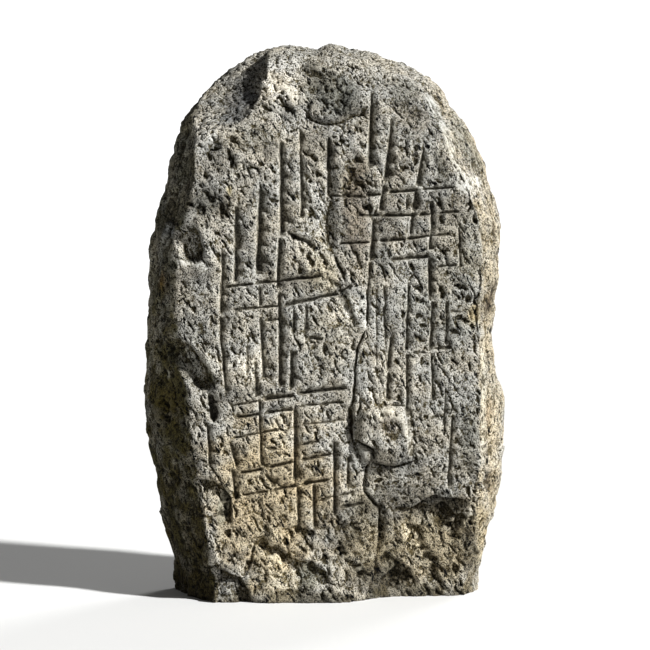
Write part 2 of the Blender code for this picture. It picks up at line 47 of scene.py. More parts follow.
stone = {
    # outline seen from the front, clockwise: girth across, girth up, and how far in the front arris runs
    "leftSide": (
        (-314, -70, 98), (-337, 73, 100), (-354, 156, 102), (-387, 299, 105), (-398, 482, 104),
        (-383, 580, 66), (-389, 724, 62), (-382, 796, 78), (-352, 870, 70), (-321, 997, 52),
        (-272, 1090, 36), (-203, 1161, 40),
    ),
    "top": (
        (-130, 1197, 42), (-36, 1193, 42), (25, 1201, 42), (116, 1178, 42),
    ),
    "rightSide": (
        (217, 1136, 44), (284, 1056, 50), (324, 996, 64), (361, 905, 62), (378, 820, 52), (382, 690, 46),
        (368, 596, 38), (376, 486, 44), (391, 387, 60), (390, 285, 58), (370, 139, 44), (345, 40, 40),
        (328, -70, 38),
    ),
    "foot": ((160, -120, 55), (-140, -120, 55)),
    # front face: how far it stands out, leans back and falls away at its edges
    "frontOut": 0.17, "frontLean": 0.022,
    "crown": (-0.035, 0.34, 0.014, 4),  # middle across, half width, fall, power
    "rightFootFall": 0.078, "rightFootAcross": (0.02, 0.16), "rightFootUp": (0.42, 0.05),
    "roll": (0.93, 0.25, 0.105, 1.7),  # starts up, height, depth, power
    # girth and back
    "girthDepth": (0.01, 0.045), "topStart": 0.95, "topEnd": 1.15,
    "backOut": 0.178, "backLean": 0.03, "backCrown": 0.05, "backInset": 0.052, "backInsetShare": 0.55,
    "frontBulge": (1.35, 1.9), "backBulge": 2.2, "beltGather": 1.25,  # rings gather near the front arris
    # broken planes of the sides and the back: the way each looks and how far it lies from the middle
    "middle": (0, 0, 0.58),
    "planes": (
        ((-0.7, 0.68, 0.14), 0.306), ((-0.55, 0.8, -0.22), 0.332), ((0.66, 0.72, 0.16), 0.304),
        ((0.52, 0.82, -0.22), 0.322), ((-0.2, 0.97, 0.1), 0.184), ((0.3, 0.95, 0.05), 0.184),
        ((0.05, 0.99, -0.1), 0.212), ((0.643, -0.643, 0.415), 0.418), ((-0.8, -0.58, 0.1), 0.353),
        ((-0.4, -0.92, 0), 0.256),
    ),
    "planeSoftness": 0.0025,
    # corners broken off the front, on the right of a path: the plane that is left, width of the wall, path
    "corners": (
        ((-0.259, -0.648, 0.717), 0.446, 0.012, (
            (-108, 1230), (-126, 1165), (-129, 1128), (-139, 1096), (-154, 1062), (-178, 1022), (-191, 1000),
            (-200, 940))),
    ),
    # hollows (depth above 0) and bosses (below 0): centre, half sizes, turn, depth, abrupt rim, squareness
    "hollows": (
        (-286, 762, 30, 46, 14, 26, 2.6, 2.5), (-290, 506, 34, 84, 39, 30, 2.2, 2.2),
        (125, 353, 60, 68, 4, -14, 4.5, 3.5), (142, 370, 30, 30, -20, 5, 1.6, 2),
        (30, 1075, 85, 60, 0, -12, 1.4, 2), (105, 870, 75, 110, 0, 6, 1.4, 2),
        (262, 170, 50, 40, 0, 12, 1.6, 2), (165, 35, 50, 40, 0, 12, 1.5, 2),
        (-337, 781, 15, 34, -18, -13, 3, 2),
    ),
    # broken ledges: drop on the right of the path, width of the lip, way back up, path
    "ledges": (
        (12, 5, 50, ((-42, 1068), (-41, 1050), (-30, 1036), (-6, 1026), (21, 1025), (49, 1036),
            (70, 1045), (110, 1068))),
        (10, 6, 110, ((98, 20), (119, 106), (121, 189), (87, 232), (87, 270))),
        (9, 6, 60, ((60, 345), (53, 420), (64, 499), (87, 560))),
        (22, 6, 60, ((165, 190), (185, 191), (208, 204), (231, 218), (265, 213), (290, 208), (312, 206))),
        (20, 6, 60, ((-285, 263), (-238, 258), (-214, 246), (-200, 222), (-197, 165))),
        (20, 6, 60, ((-260, 82), (-216, 68), (-180, 54), (-163, 28), (-152, -20))),
        (12, 6, 55, ((-108, 128), (-89, 108), (-55, 92), (-28, 88), (0, 66), (20, 30))),
        (14, 5, 45, ((62, 420), (60, 380), (60, 330))),
        (16, 5, 26, ((50, 356), (66, 347), (104, 328), (103, 290))),
        (6, 5, 30, ((90, 310), (103, 299), (123, 289), (153, 286), (176, 290), (208, 306))),
        (7, 10, 30, ((187, 290), (186, 346), (182, 400), (165, 424))),
        (12, 5, 30, ((150, 198), (180, 190), (212, 197), (245, 188))),
        (10, 7, 35, ((-168, 118), (-146, 86), (-120, 66))),
        (10, 7, 40, ((6, 690), (34, 676), (52, 642), (68, 598), (88, 590))),
    ),
    "ledgeEndFade": 0.03,
    # natural cracks: width, depth, path
    "cracks": (
        (9, 20, ((100, 2), (108, 34), (117, 109), (125, 155), (121, 189), (108, 208), (89, 232),
            (87, 261), (97, 305))),
        (12, 20, ((58, 340), (57, 378), (53, 412), (56, 430))),
        (7, 15, ((54, 405), (62, 446), (64, 499), (70, 546), (88, 582))),
        (5, 9, ((88, 578), (91, 640), (87, 675))),
        (10, 16, ((-41, 1058), (-39, 1048), (-30, 1037), (-6, 1027), (21, 1026), (49, 1037), (70, 1046),
            (96, 1060))),
        (7, 12, ((-322, 808), (-327, 780), (-345, 750))), (10, 16, ((372, 682), (364, 655), (350, 622))),
        (8, 12, ((366, 806), (370, 768))), (7, 10, ((352, 275), (358, 235))),
        (4, 9, ((7, 866), (4, 820), (6, 770))), (10, 14, ((216, 214), (250, 212), (285, 208), (308, 211))),
        (6, 8, ((76, 441), (73, 416), (70, 392))), (10, 12, ((17, 745), (34, 707), (43, 677))),
        (14, 12, ((-266, 457), (-231, 457))),
        (9, 14, ((96, 306), (103, 299), (123, 289), (153, 286), (176, 290), (193, 299))),
        (8, 12, ((64, 346), (85, 336), (104, 325), (102, 302))),
    ),
    # carved strokes: first end (across, up), last end (across, up), width at each end
    "strokes": (
        # left upper field, uprights
        (-211, 749, -214, 611, 16, 18), (-214, 611, -216, 550, 18, 14), (-217, 585, -203, 445, 14, 18),
        (-181, 845, -182, 679, 20, 21), (-127, 881, -132, 698, 24, 27), (-133, 673, -133, 628, 14, 16),
        (-131, 609, -121, 474, 15, 21), (-86, 983, -82, 775, 18, 26), (-87, 779, -92, 664, 23, 21),
        (-89, 664, -86, 457, 20, 22), (-47, 1008, -41, 817, 14, 20), (-62, 626, -62, 575, 11, 12),
        (-35, 635, -35, 571, 12, 16), (-62, 539, -62, 452, 20, 24), (-161, 548, -161, 482, 12, 10),
        (-145, 516, -139, 437, 12, 16),
        # left upper field, across
        (-219, 673, -151, 681, 13, 13), (-151, 681, -6, 699, 14, 18), (-197, 625, -92, 635, 10, 14),
        (-92, 635, 28, 662, 19, 17), (28, 662, 59, 677, 14, 10), (-127, 602, -89, 606, 12, 13),
        (-81, 792, -21, 762, 14, 20), (-36, 567, -4, 563, 14, 12),
        # lower left field, across
        (-204, 420, -138, 433, 10, 12), (-134, 436, -66, 446, 18, 20), (-62, 450, 47, 461, 20, 16),
        (-193, 398, -134, 405, 17, 17), (-129, 407, -64, 415, 15, 14), (-55, 420, 40, 429, 10, 10),
        (-197, 353, -98, 371, 11, 12), (-53, 380, 57, 393, 9, 9), (-127, 331, -102, 331, 12, 10),
        (-53, 339, -13, 347, 16, 12), (-185, 278, -129, 289, 14, 16), (-125, 291, -62, 304, 18, 17),
        (-53, 308, 19, 320, 18, 15), (-178, 230, -121, 240, 10, 11), (-117, 242, -59, 253, 14, 15),
        (-53, 255, 8, 267, 19, 18), (-13, 221, 25, 230, 12, 10), (28, 230, 66, 237, 12, 11),
        (31, 206, 87, 211, 16, 14),
        # lower left field, uprights
        (-134, 435, -129, 287, 15, 15), (-125, 278, -100, 253, 14, 18), (-55, 420, -56, 255, 19, 22),
        (-52, 249, -49, 151, 19, 16), (-16, 257, -16, 151, 21, 17), (27, 346, 28, 185, 18, 21),
        (56, 314, 57, 240, 16, 14), (-238, 448, -225, 387, 24, 30), (-242, 382, -237, 287, 19, 17),
        (-197, 344, -180, 287, 14, 18), (-191, 287, -182, 217, 18, 16),
        # right upper field, uprights
        (106, 1089, 106, 921, 15, 28), (148, 1031, 140, 891, 14, 29), (133, 889, 123, 826, 18, 19),
        (113, 817, 104, 724, 21, 20), (100, 724, 91, 597, 13, 10), (216, 971, 205, 881, 14, 22),
        (204, 877, 196, 830, 23, 22), (193, 826, 187, 779, 17, 15), (235, 855, 231, 745, 18, 19),
        (231, 741, 233, 643, 21, 24), (177, 870, 177, 783, 9, 9), (290, 800, 295, 711, 13, 14),
        (14, 994, 13, 915, 15, 18), (13, 915, 10, 864, 13, 9),
        # right upper field, across
        (8, 868, 81, 865, 12, 15), (87, 868, 123, 873, 15, 17), (132, 876, 202, 881, 19, 17),
        (204, 881, 278, 886, 13, 11), (66, 826, 119, 828, 13, 17), (119, 827, 197, 828, 18, 18),
        (197, 827, 235, 830, 16, 14), (238, 830, 286, 833, 13, 10), (30, 766, 98, 769, 12, 11),
        (110, 773, 170, 777, 17, 19), (170, 777, 269, 787, 16, 12), (138, 733, 226, 741, 15, 18),
        (235, 716, 278, 720, 10, 10),
        # right middle field
        (111, 668, 112, 500, 6, 6), (129, 675, 130, 600, 9, 7), (127, 633, 136, 490, 9, 10),
        (147, 569, 140, 490, 15, 20), (140, 490, 136, 427, 15, 13), (182, 681, 178, 533, 13, 15),
        (179, 533, 180, 393, 15, 14), (180, 393, 182, 321, 11, 9), (234, 643, 231, 533, 14, 16),
        (233, 533, 235, 427, 15, 13), (265, 643, 265, 546, 14, 17), (259, 452, 258, 353, 9, 9),
        (277, 399, 272, 236, 13, 14), (185, 534, 216, 534, 10, 9), (231, 544, 272, 544, 13, 11),
        (267, 622, 293, 619, 10, 9), (138, 423, 174, 420, 10, 9), (228, 393, 244, 397, 8, 8),
    ),
    # wide natural furrows: wall on the left of the path, wall on its right, depth, path
    "furrows": (
        (22, 17, 12, ((17, 735), (6, 771), (6, 813), (13, 866), (9, 930), (6, 1000))),
        (5, 17, 18, ((96, 10), (106, 34), (115, 109), (118, 198), (108, 214))),
        (4, 8, 7, ((154, 140), (149, 185), (133, 203))), (6, 10, 8, ((63, 345), (55, 380), (56, 440))),
        (10, 22, 10, ((174, 176), (182, 150), (204, 136), (212, 108), (236, 92))),
        (10, 20, 11, ((212, 80), (236, 66), (240, 40), (262, 24))),
        (12, 26, 13, ((122, 112), (138, 86), (160, 66), (168, 36))),
        (10, 22, 11, ((240, 190), (252, 160), (276, 146), (300, 110))),
        (12, 24, 13, ((12, 186), (34, 160), (66, 156), (102, 122))),
        (12, 24, 12, ((-150, 150), (-128, 122), (-96, 112), (-70, 84))),
    ),
    # per width: bottom off the line, long wall in shade, short wall in the light, depth
    "uprightSection": (-0.42, 1.12, 0.24, 0.72), "crossSection": (-0.25, 0.76, 0.3, 0.9),
    "strokeHollow": 1.7,  # how the shaded wall hollows towards the bottom
    "strokeEnd": 0.7,  # run of an end, per width
    "tooledDepth": 0.004,  # from here on a groove counts as tooled
    "strokeWander": 0.0014, "strokeWanderLength": 0.034,
    # shaded wall: its least share, how much fingers lengthen it, their length and their slant
    "strokeLeast": 0.85, "strokeRagged": 0.8, "fingerLength": 0.015, "fingerSlant": 0.6,
    # small broken chips: centre, half sizes, turn, depth
    "chips": (
        (-195, 984, 16, 6, -22, 8), (-232, 963, 15, 6, 10, 8), (-201, 944, 6, 18, 16, 10),
        (-244, 943, 6, 15, 18, 7), (-28, 946, 24, 7, -30, 9), (-14, 910, 18, 7, -45, 9),
        (-36, 1046, 4, 22, 0, 7), (191, 946, 7, 34, 2, 6), (-64, 778, 18, 7, -33, 9),
        (-34, 760, 16, 6, -20, 8), (250, 750, 14, 8, -20, 9), (281, 752, 6, 14, -12, 6),
        (310, 846, 5, 20, -8, 10), (318, 812, 6, 12, 10, 7), (247, 842, 7, 11, 10, 6),
        (-192, 230, 8, 22, -8, 8), (-204, 147, 6, 13, 0, 8), (-155, 103, 7, 26, -22, 9),
        (-167, 72, 6, 14, -20, 7), (-47, 151, 24, 12, -20, 12), (59, 158, 30, 14, -18, 13),
        (104, 141, 12, 18, -10, 8), (263, 176, 22, 24, 0, 12), (290, 163, 30, 8, 46, 10),
        (316, 160, 6, 22, 22, 7), (157, 47, 32, 24, 0, 10), (227, 82, 16, 12, -30, 9),
        (231, 32, 12, 8, 0, 7), (284, 58, 16, 14, -20, 9), (312, 79, 10, 14, -20, 7),
        (352, 246, 7, 10, 0, 8), (352, 645, 6, 30, -17, 10), (353, 776, 5, 15, 0, 8),
        (326, 642, 12, 18, 0, 6), (-240, 413, 11, 30, 8, 12), (-344, 401, 12, 34, 16, 12),
        (30, 1000, 14, 34, 0, 4), (33, 1070, 12, 40, 12, 6), (-19, 1130, 28, 12, -14, 6),
        (-128, 1056, 9, 4, -20, 5), (60, 905, 14, 36, 10, 6), (40, 880, 20, 10, -14, 7),
        (173, 845, 22, 11, -10, 7), (222, 842, 8, 12, 10, 6), (-88, 1062, 10, 30, 46, 12),
        (-124, 1054, 7, 18, 50, 7), (196, 668, 12, 7, -32, 8), (203, 640, 12, 6, -30, 8),
        (198, 610, 10, 8, -35, 8), (206, 588, 12, 6, -30, 8), (200, 562, 12, 8, -30, 8),
        (249, 660, 8, 12, 20, 7), (250, 595, 7, 12, 15, 7), (287, 672, 18, 8, -36, 9),
        (305, 645, 16, 8, -30, 9), (292, 604, 16, 7, -32, 9), (280, 574, 14, 6, -24, 8),
        (316, 584, 10, 7, -20, 7), (70, 940, 12, 9, -20, 8), (68, 893, 18, 10, -25, 9),
        (40, 870, 18, 6, -10, 8), (98, 838, 18, 9, -15, 9), (-214, 832, 10, 18, 10, 10),
        (-262, 836, 10, 20, 24, 8), (-240, 858, 14, 7, -40, 8), (60, 82, 18, 10, -35, 10),
        (30, 112, 20, 10, -40, 10), (84, 58, 14, 10, -30, 10), (190, 128, 20, 10, 44, 10),
    ),
    # broken relief: wavelength and height, and how strong it is on the front, the sides and the back
    "lumps": ((0.17, 0.01), (0.075, 0.006)), "lumpSeed": 7,
    "facets": ((0.062, 0.0042, 0.35, 1, 0.8), (0.027, 0.0024, 0.55, 1, 0.5)),
    "ripples": ((0.03, 0.0025, 0.8, 1, 0.6), (0.013, 0.0014, 0.9, 1, 0.4)), "rippleLong": 1.9,
    "footCoarser": 1.3, "footUp": (0.24, 0.13),  # the face breaks more coarsely near its foot
    "lean": -32,  # way that pits and crevices run
    # pits and clefts: size across and along, where the noise starts one and is at full depth, depth
    "pits": ((0.008, 0.015, 0.34, 0.66, 0.0034), (0.0105, 0.034, 0.38, 0.66, 0.0058)),
    "fibreSize": (0.011, 0.05), "fibreHeight": 0.0022,
    "pitDetail": (2.1, 0.55),  # a finer noise over that of the pits: how much finer, how strong
    "pitStrength": (1, 0.8, 0.4), "fibreStrength": (0, 1, 0.4),  # on the front, the sides and the back
    "leanWander": ((0.022, 0.004), (0.008, 0.002)), "tooledCalm": 0.85,
    "region": (0.35, 0.75),  # how far a normal is turned where front or back begins and is whole
    # edges of all that is broken wander (wavelength, height), and those of chips are ragged
    "edgeWarp": ((0.028, 0.0024), (0.011, 0.0012)), "chipRagged": 0.75, "chipRaggedSize": 0.009,
    "seed": 31,
    # grid of the front, belt and back, and the triangles kept
    "columns": 300, "rows": 476, "beltRings": 44, "backRings": 26, "backCoarser": 2,
    "triangles": 196000,
}


def metres(value):
    # whole millimetres, or rows of them at any depth, in metres
    return [metres(part) for part in value] if isinstance(value, (tuple, list)) else value / 1000


def between(pair, share):
    return pair[0] + (pair[1] - pair[0]) * share


def smoothStep(value, start, end):
    # 0 at start, 1 at end, eased between: 3t^2 - 2t^3
    t = np.clip((value - start) / (end - start), 0, 1)
    return t * t * (3 - 2 * t)


def closedCurve(table, place):
    # closed Catmull-Rom curve through the table's rows; place counts rows
    first = np.floor(place).astype(int)
    t = (place - first)[:, None]
    before, start, end, after = (table[(first + step) % len(table)] for step in (-1, 0, 1, 2))
    return 0.5 * (2 * start + (end - before) * t
                  + (2 * before - 5 * start + 4 * end - after) * t ** 2
                  + (3 * (start - end) + after - before) * t ** 3)


def evenPlaces(table, first, last, count):
    # places between two stations, evenly spaced along the curve's length
    fine = np.linspace(first, last, 2400)
    steps = np.diff(closedCurve(table, fine)[:, :2], axis=0)
    run = np.concatenate([[0], np.cumsum(np.hypot(steps[:, 0], steps[:, 1]))])
    return np.interp(np.linspace(0, run[-1], count + 1), run, fine)


def outlineRims(columns, rows):
    # girth, front arris and back arris: each arris runs its inset in from the girth, square to the outline
    table = np.array(metres(stone["leftSide"] + stone["top"] + stone["rightSide"] + stone["foot"]))
    leftEnd = len(stone["leftSide"]) - 1
    topEnd = leftEnd + 1 + len(stone["top"])
    rightEnd = topEnd + len(stone["rightSide"]) - 1
    stops, counts = (0, leftEnd, topEnd, rightEnd, len(table)), (rows, columns, rows, columns)
    places = np.concatenate([evenPlaces(table, *span)[:-1] for span in zip(stops[:-1], stops[1:], counts)])
    girth = closedCurve(table, places)
    along = closedCurve(table, places + 0.6)[:, :2] - closedCurve(table, places - 0.6)[:, :2]
    along /= np.linalg.norm(along, axis=1)[:, None]
    inward = np.column_stack([along[:, 1], -along[:, 0]])
    front = girth[:, :2] + inward * girth[:, 2:]
    back = girth[:, :2] + inward * (stone["backInset"] + stone["backInsetShare"] * girth[:, 2:])
    return girth[:, :2], front, back


def topRoll(up):
    # how far both faces curve over at the top: depth * (height above the start)^power
    start, height, depth, power = stone["roll"]
    return depth * (np.clip(up - start, 0, None) / height) ** power


def frontDepth(across, up):
    # y of the front: stands out, leans back, falls to its edges, to its right foot and over the top
    middle, half, fall, power = stone["crown"]
    crown = fall * np.abs((across - middle) / half) ** power
    rightFoot = stone["rightFootFall"] * smoothStep(across, *stone["rightFootAcross"])
    rightFoot = rightFoot * smoothStep(up, *stone["rightFootUp"])
    return stone["frontLean"] * up - stone["frontOut"] + crown + rightFoot + topRoll(up)


def backDepth(across, up):
    # y of the back: stands out, leans, domed across, and rolls over the top
    half = stone["crown"][1]
    return stone["backOut"] - stone["backLean"] * up - stone["backCrown"] * (across / half) ** 2 - topRoll(up)


def filledPatch(rim, columns, rows):
    # a grid spread evenly inside a closed rim: both ruled surfaces less the corners' own (a Coons patch)
    left, top = rim[:rows + 1], rim[rows:rows + columns + 1]
    right = rim[rows + columns:2 * rows + columns + 1][::-1]
    bottom = np.concatenate([rim[2 * rows + columns:], rim[:1]])[::-1]
    u = np.linspace(0, 1, columns + 1)[None, :, None]
    v = np.linspace(0, 1, rows + 1)[:, None, None]
    below, above = (1 - u) * (1 - v) * left[0] + u * (1 - v) * right[0], (1 - u) * v * left[-1]
    corners = below + above + u * v * right[-1]
    patch = (1 - v) * bottom[None] + v * top[None] + (1 - u) * left[:, None] + u * right[:, None] - corners
    return patch.reshape(-1, 2)


def gridNumbers(columns, rows, first):
    return first + np.arange((columns + 1) * (rows + 1)).reshape(rows + 1, columns + 1)


def gridRim(grid):
    # the rim's point numbers, clockwise from the lower left corner
    return np.concatenate([grid[:-1, 0], grid[-1, :-1], grid[:0:-1, -1], grid[0, :0:-1]])


def gridQuads(grid, facesAway):
    corners = [grid[:-1, :-1], grid[:-1, 1:], grid[1:, 1:], grid[1:, :-1]]
    if facesAway:
        corners.reverse()
    return np.stack(corners, axis=-1).reshape(-1, 4)


def beltPoints(arris, girth, share, bulge, arrisY, girthY):
    # share of the way round from an arris to the girth: depth goes evenly, the outline swells by the bulge
    reach = 1 - (1 - share) ** bulge
    flat = arris + (girth - arris) * np.broadcast_to(reach, len(girth))[:, None]
    return np.column_stack([flat[:, 0], arrisY + (girthY - arrisY) * share, flat[:, 1]])


def smoothBody():
    # points, quads and triangles of the unbroken stone: front patch, belt rings, back patch
    columns, rows = stone["columns"], stone["rows"]
    girth, frontRim, backRim = outlineRims(columns, rows)
    topness = smoothStep(girth[:, 1], stone["topStart"], stone["topEnd"])
    girthY, frontBulge = between(stone["girthDepth"], topness), between(stone["frontBulge"], topness)
    frontY, backY = frontDepth(*frontRim.T), backDepth(*backRim.T)
    patch = filledPatch(frontRim, columns, rows)
    points = [np.column_stack([patch[:, 0], frontDepth(*patch.T), patch[:, 1]])]
    grid = gridNumbers(columns, rows, 0)
    quads = [gridQuads(grid, False)]
    rings = [gridRim(grid)]
    total = len(patch)
    frontShares = np.linspace(0, 1, stone["beltRings"] + 1)[1:] ** stone["beltGather"]
    backShares = np.linspace(0, 1, stone["backRings"] + 1)[1:-1]
    for share in frontShares:
        points.append(beltPoints(frontRim, girth, share, frontBulge, frontY, girthY))
    for share in backShares:
        points.append(beltPoints(backRim, girth, 1 - share, stone["backBulge"], backY, girthY))
    for _ in range(len(frontShares) + len(backShares)):
        rings.append(total + np.arange(len(girth)))
        total += len(girth)
    quads += [np.column_stack([near, np.roll(near, -1), np.roll(far, -1), far])
              for near, far in zip(rings[:-1], rings[1:])]
    coarser = stone["backCoarser"]
    backColumns, backRows = columns // coarser, rows // coarser
    patch = filledPatch(backRim[::coarser], backColumns, backRows)
    points.append(np.column_stack([patch[:, 0], backDepth(*patch.T), patch[:, 1]]))
    grid = gridNumbers(backColumns, backRows, total)
    quads.append(gridQuads(grid, True))
    fine, coarse = rings[-1], gridRim(grid)
    triangles = np.column_stack([fine[::2], fine[1::2], coarse])
    quads.append(np.column_stack([fine[1::2], np.roll(fine, -2)[::2], np.roll(coarse, -1), coarse]))
    return np.concatenate(points), np.concatenate(quads), triangles


def pointNormals(points, quads, triangles):
    # outward unit normals: the sum of the cross products of the faces round a point
    normals = np.zeros_like(points)
    for faces in (quads, triangles):
        diagonals = points[faces[:, 2]] - points[faces[:, 0]], points[faces[:, -1]] - points[faces[:, 1]]
        crosswise = np.cross(*diagonals)
        for corner in faces.T:
            for axis in range(3):
                normals[:, axis] += np.bincount(corner, crosswise[:, axis], minlength=len(points))
    return normals / np.linalg.norm(normals, axis=1)[:, None]


def latticeNoise(points, seed):
    # smooth noise about -1 to 1: every lattice corner has a random slope, eased together inside its cell
    generator = np.random.default_rng(seed)
    order = np.tile(generator.permutation(256), 3)
    slopes = generator.normal(size=(256, 3))
    slopes /= np.linalg.norm(slopes, axis=1)[:, None]
    cell = np.floor(points).astype(int)
    inside = points - cell
    cell &= 255
    ease = inside ** 3 * (inside * (inside * 6 - 15) + 10)
    total = np.zeros(len(points))
    for corner in np.ndindex(2, 2, 2):
        hashed = order[order[order[cell[:, 0] + corner[0]] + cell[:, 1] + corner[1]] + cell[:, 2] + corner[2]]
        slope = slopes[hashed]
        weight = np.ones(len(points))
        rise = np.zeros(len(points))
        for axis in range(3):
            weight *= ease[:, axis] if corner[axis] else 1 - ease[:, axis]
            rise += slope[:, axis] * (inside[:, axis] - corner[axis])
        total += weight * rise
    return 1.6 * total


def layeredNoise(points, layers, seed):
    # the sum of noises, each with a wavelength and a height
    return sum(height * latticeNoise(points / wavelength, seed + number)
               for number, (wavelength, height) in enumerate(layers))


def facetNoise(points, seed, tilt=0.7, offset=0.6, border=0.16):
    # broken facets about -1 to 1: each cell of a jittered lattice carries a tilted plane, and a point takes
    # the plane of its nearest centre, mixed with that of the next nearest close to their border
    generator = np.random.default_rng(seed)
    order = np.tile(generator.permutation(256), 3)
    centres = generator.random((256, 3))
    tilts = generator.normal(size=(256, 3)) * tilt
    offsets = generator.uniform(-offset, offset, 256)
    cell = np.floor(points).astype(int)
    nearest = np.full(len(points), np.inf)
    second, height, secondHeight = nearest.copy(), np.zeros(len(points)), np.zeros(len(points))
    for corner in np.ndindex(3, 3, 3):
        home = cell + np.array(corner) - 1
        key = home & 255
        hashed = order[order[order[key[:, 0]] + key[:, 1]] + key[:, 2]]
        away = points - home - centres[hashed]
        distance = np.sqrt(np.einsum("ij,ij->i", away, away))
        plane = offsets[hashed] + np.einsum("ij,ij->i", away, tilts[hashed])
        closer = distance < nearest
        nextOne = ~closer & (distance < second)
        second = np.where(closer, nearest, np.where(nextOne, distance, second))
        secondHeight = np.where(closer, height, np.where(nextOne, plane, secondHeight))
        nearest = np.where(closer, distance, nearest)
        height = np.where(closer, plane, height)
    own = 0.5 + 0.5 * smoothStep(second - nearest, 0, border)
    return height * own + secondHeight * (1 - own)


def pathMeasures(across, up, path):
    # distance to a path, its side (1 right, -1 left), distance along it, and its length
    best, side, along, run = np.full(len(up), np.inf), np.ones(len(up)), np.zeros(len(up)), 0
    for (x0, z0), (x1, z1) in zip(path[:-1], path[1:]):
        length = math.hypot(x1 - x0, z1 - z0)
        ux, uz = (x1 - x0) / length, (z1 - z0) / length
        place = np.clip((across - x0) * ux + (up - z0) * uz, 0, length)
        offX, offZ = across - x0 - ux * place, up - z0 - uz * place
        distance = np.hypot(offX, offZ)
        nearer = distance < best
        best = np.where(nearer, distance, best)
        side = np.where(nearer, np.where(offX * uz - offZ * ux >= 0, 1, -1), side)
        along = np.where(nearer, run + place, along)
        run += length
    return best, side, along, run


def ovalReach(across, up, oval, square=2):
    # 0 at the middle of a turned oval (centre, half sizes, turn) and 1 on its rim: (u^n + v^n)^(1/n)
    centreX, centreZ, halfWidth, halfHeight = metres(oval[:4])
    angle = math.radians(oval[4])
    dx, dz = across - centreX, up - centreZ
    u = np.abs(dx * math.cos(angle) + dz * math.sin(angle)) / halfWidth
    v = np.abs(dz * math.cos(angle) - dx * math.sin(angle)) / halfHeight
    return (u ** square + v ** square) ** (1 / square)


def endFade(along, length, run, least=0):
    # 1 along a path, falling to the least value over the run at each end
    return np.clip(np.minimum(along, length - along) / run, least, 1)


def ledgeDepth(across, up, drop, lip, fade, path):
    # steps down by the drop over the lip, then eases back over the fade, and dies out at the path's ends
    distance, side, along, length = pathMeasures(across, up, path)
    signed = distance * side
    shape = smoothStep(signed, -0.5 * lip, 0.5 * lip) * np.exp(-np.clip(signed, 0, None) / fade)
    return drop * shape * endFade(along, length, stone["ledgeEndFade"])


def crackDepth(across, up, width, depth, path):
    # a narrow V that thins out at both ends
    distance, _, along, length = pathMeasures(across, up, path)
    ends = endFade(along, length, 2 * width, 0.25)
    return depth * ends * np.clip(1 - distance / (0.5 * width * ends), 0, 1) ** 0.8


def furrowDepth(across, up, left, right, depth, path):
    # a V with a wall of its own on each side of the path: depth * (1 - distance / wall)
    distance, side, along, length = pathMeasures(across, up, path)
    ends = endFade(along, length, stone["ledgeEndFade"])
    return depth * ends * np.clip(1 - distance / np.where(side > 0, right, left), 0, 1)


def strokeDepths(across, up):
    # depth of all strokes: a V with a long hollow wall in shade and a short wall in the light,
    # depth = width * share * (1 - offset from the bottom / wall), on a wandering line with ragged edges
    depth = np.zeros(len(up))
    for number, (x0, z0, x1, z1, *widths) in enumerate(metres(stone["strokes"])):
        length = math.hypot(x1 - x0, z1 - z0)
        ux, uz = (x1 - x0) / length, (z1 - z0) / length
        turn = 1 if uz - ux < 0 else -1
        along = (across - x0) * ux + (up - z0) * uz
        side = turn * ((up - z0) * ux - (across - x0) * uz)
        near = np.flatnonzero((along > -0.01) & (along < length + 0.01) & (np.abs(side) < 1.3 * max(widths)))
        along, side = along[near], side[near]
        lane, flat = np.full(len(near), 5.3 * number), np.zeros(len(near))  # noise of its own for each stroke
        line = np.column_stack([along / stone["strokeWanderLength"], lane, flat])
        side = side + stone["strokeWander"] * latticeNoise(line, stone["seed"])
        width = between(widths, np.clip(along / length, 0, 1))
        section = stone["crossSection"] if abs(ux) > abs(uz) else stone["uprightSection"]
        bottom, long, short, drop = (share * width for share in section)
        slanted = along - stone["fingerSlant"] * side
        line = np.column_stack([slanted / stone["fingerLength"], lane, flat + 0.5])
        fingers = latticeNoise(line, stone["seed"] + 1)
        long = long * (stone["strokeLeast"] + stone["strokeRagged"] * np.clip(fingers, -0.3, 1))
        offset = side - bottom
        shaded = offset > 0
        wall = np.clip(1 - np.where(shaded, offset / long, -offset / short), 0, 1)
        wall = np.where(shaded, wall ** stone["strokeHollow"], wall)
        run = np.minimum(stone["strokeEnd"] * width, 0.2 * length)
        ends = smoothStep(np.minimum(along, length - along) / run, -0.3, 1)
        depth[near] = np.maximum(depth[near], drop * wall * ends)
    return depth


def chipDepths(across, up, ragged):
    # depth of all chips: the drop inside an oval whose rim the ragged noise moves in and out
    depth = np.zeros(len(up))
    for *oval, drop in stone["chips"]:
        centreX, centreZ, *halves = metres(oval[:4])
        near = np.flatnonzero(np.hypot(across - centreX, up - centreZ) < 1.5 * max(halves))
        reach = ovalReach(across[near], up[near], oval)
        shape = metres(drop) * smoothStep(1.05 - reach + stone["chipRagged"] * ragged[near], 0, 0.6)
        depth[near] = np.maximum(depth[near], shape)
    return depth


def breakDepth(points):
    # how far hollows, ledges, furrows, cracks and chips go into the front, on a place that wanders a little
    across, up = points[:, 0].copy(), points[:, 2].copy()
    for number, (wavelength, height) in enumerate(stone["edgeWarp"]):
        across += height * latticeNoise(points / wavelength, stone["seed"] + 10 + number)
        up += height * latticeNoise(points / wavelength, stone["seed"] + 20 + number)
    depth = np.zeros(len(points))
    for *oval, drop, abrupt, square in stone["hollows"]:
        depth += metres(drop) * smoothStep(abrupt * (1 - ovalReach(across, up, oval, square)), 0, 1)
    for ledge in metres(stone["ledges"]):
        depth += ledgeDepth(across, up, *ledge)
    narrow = chipDepths(across, up, latticeNoise(points / stone["chipRaggedSize"], stone["seed"] + 30))
    for measure, rows in ((furrowDepth, stone["furrows"]), (crackDepth, stone["cracks"])):
        for row in metres(rows):
            narrow = np.maximum(narrow, measure(across, up, *row))
    return depth + narrow


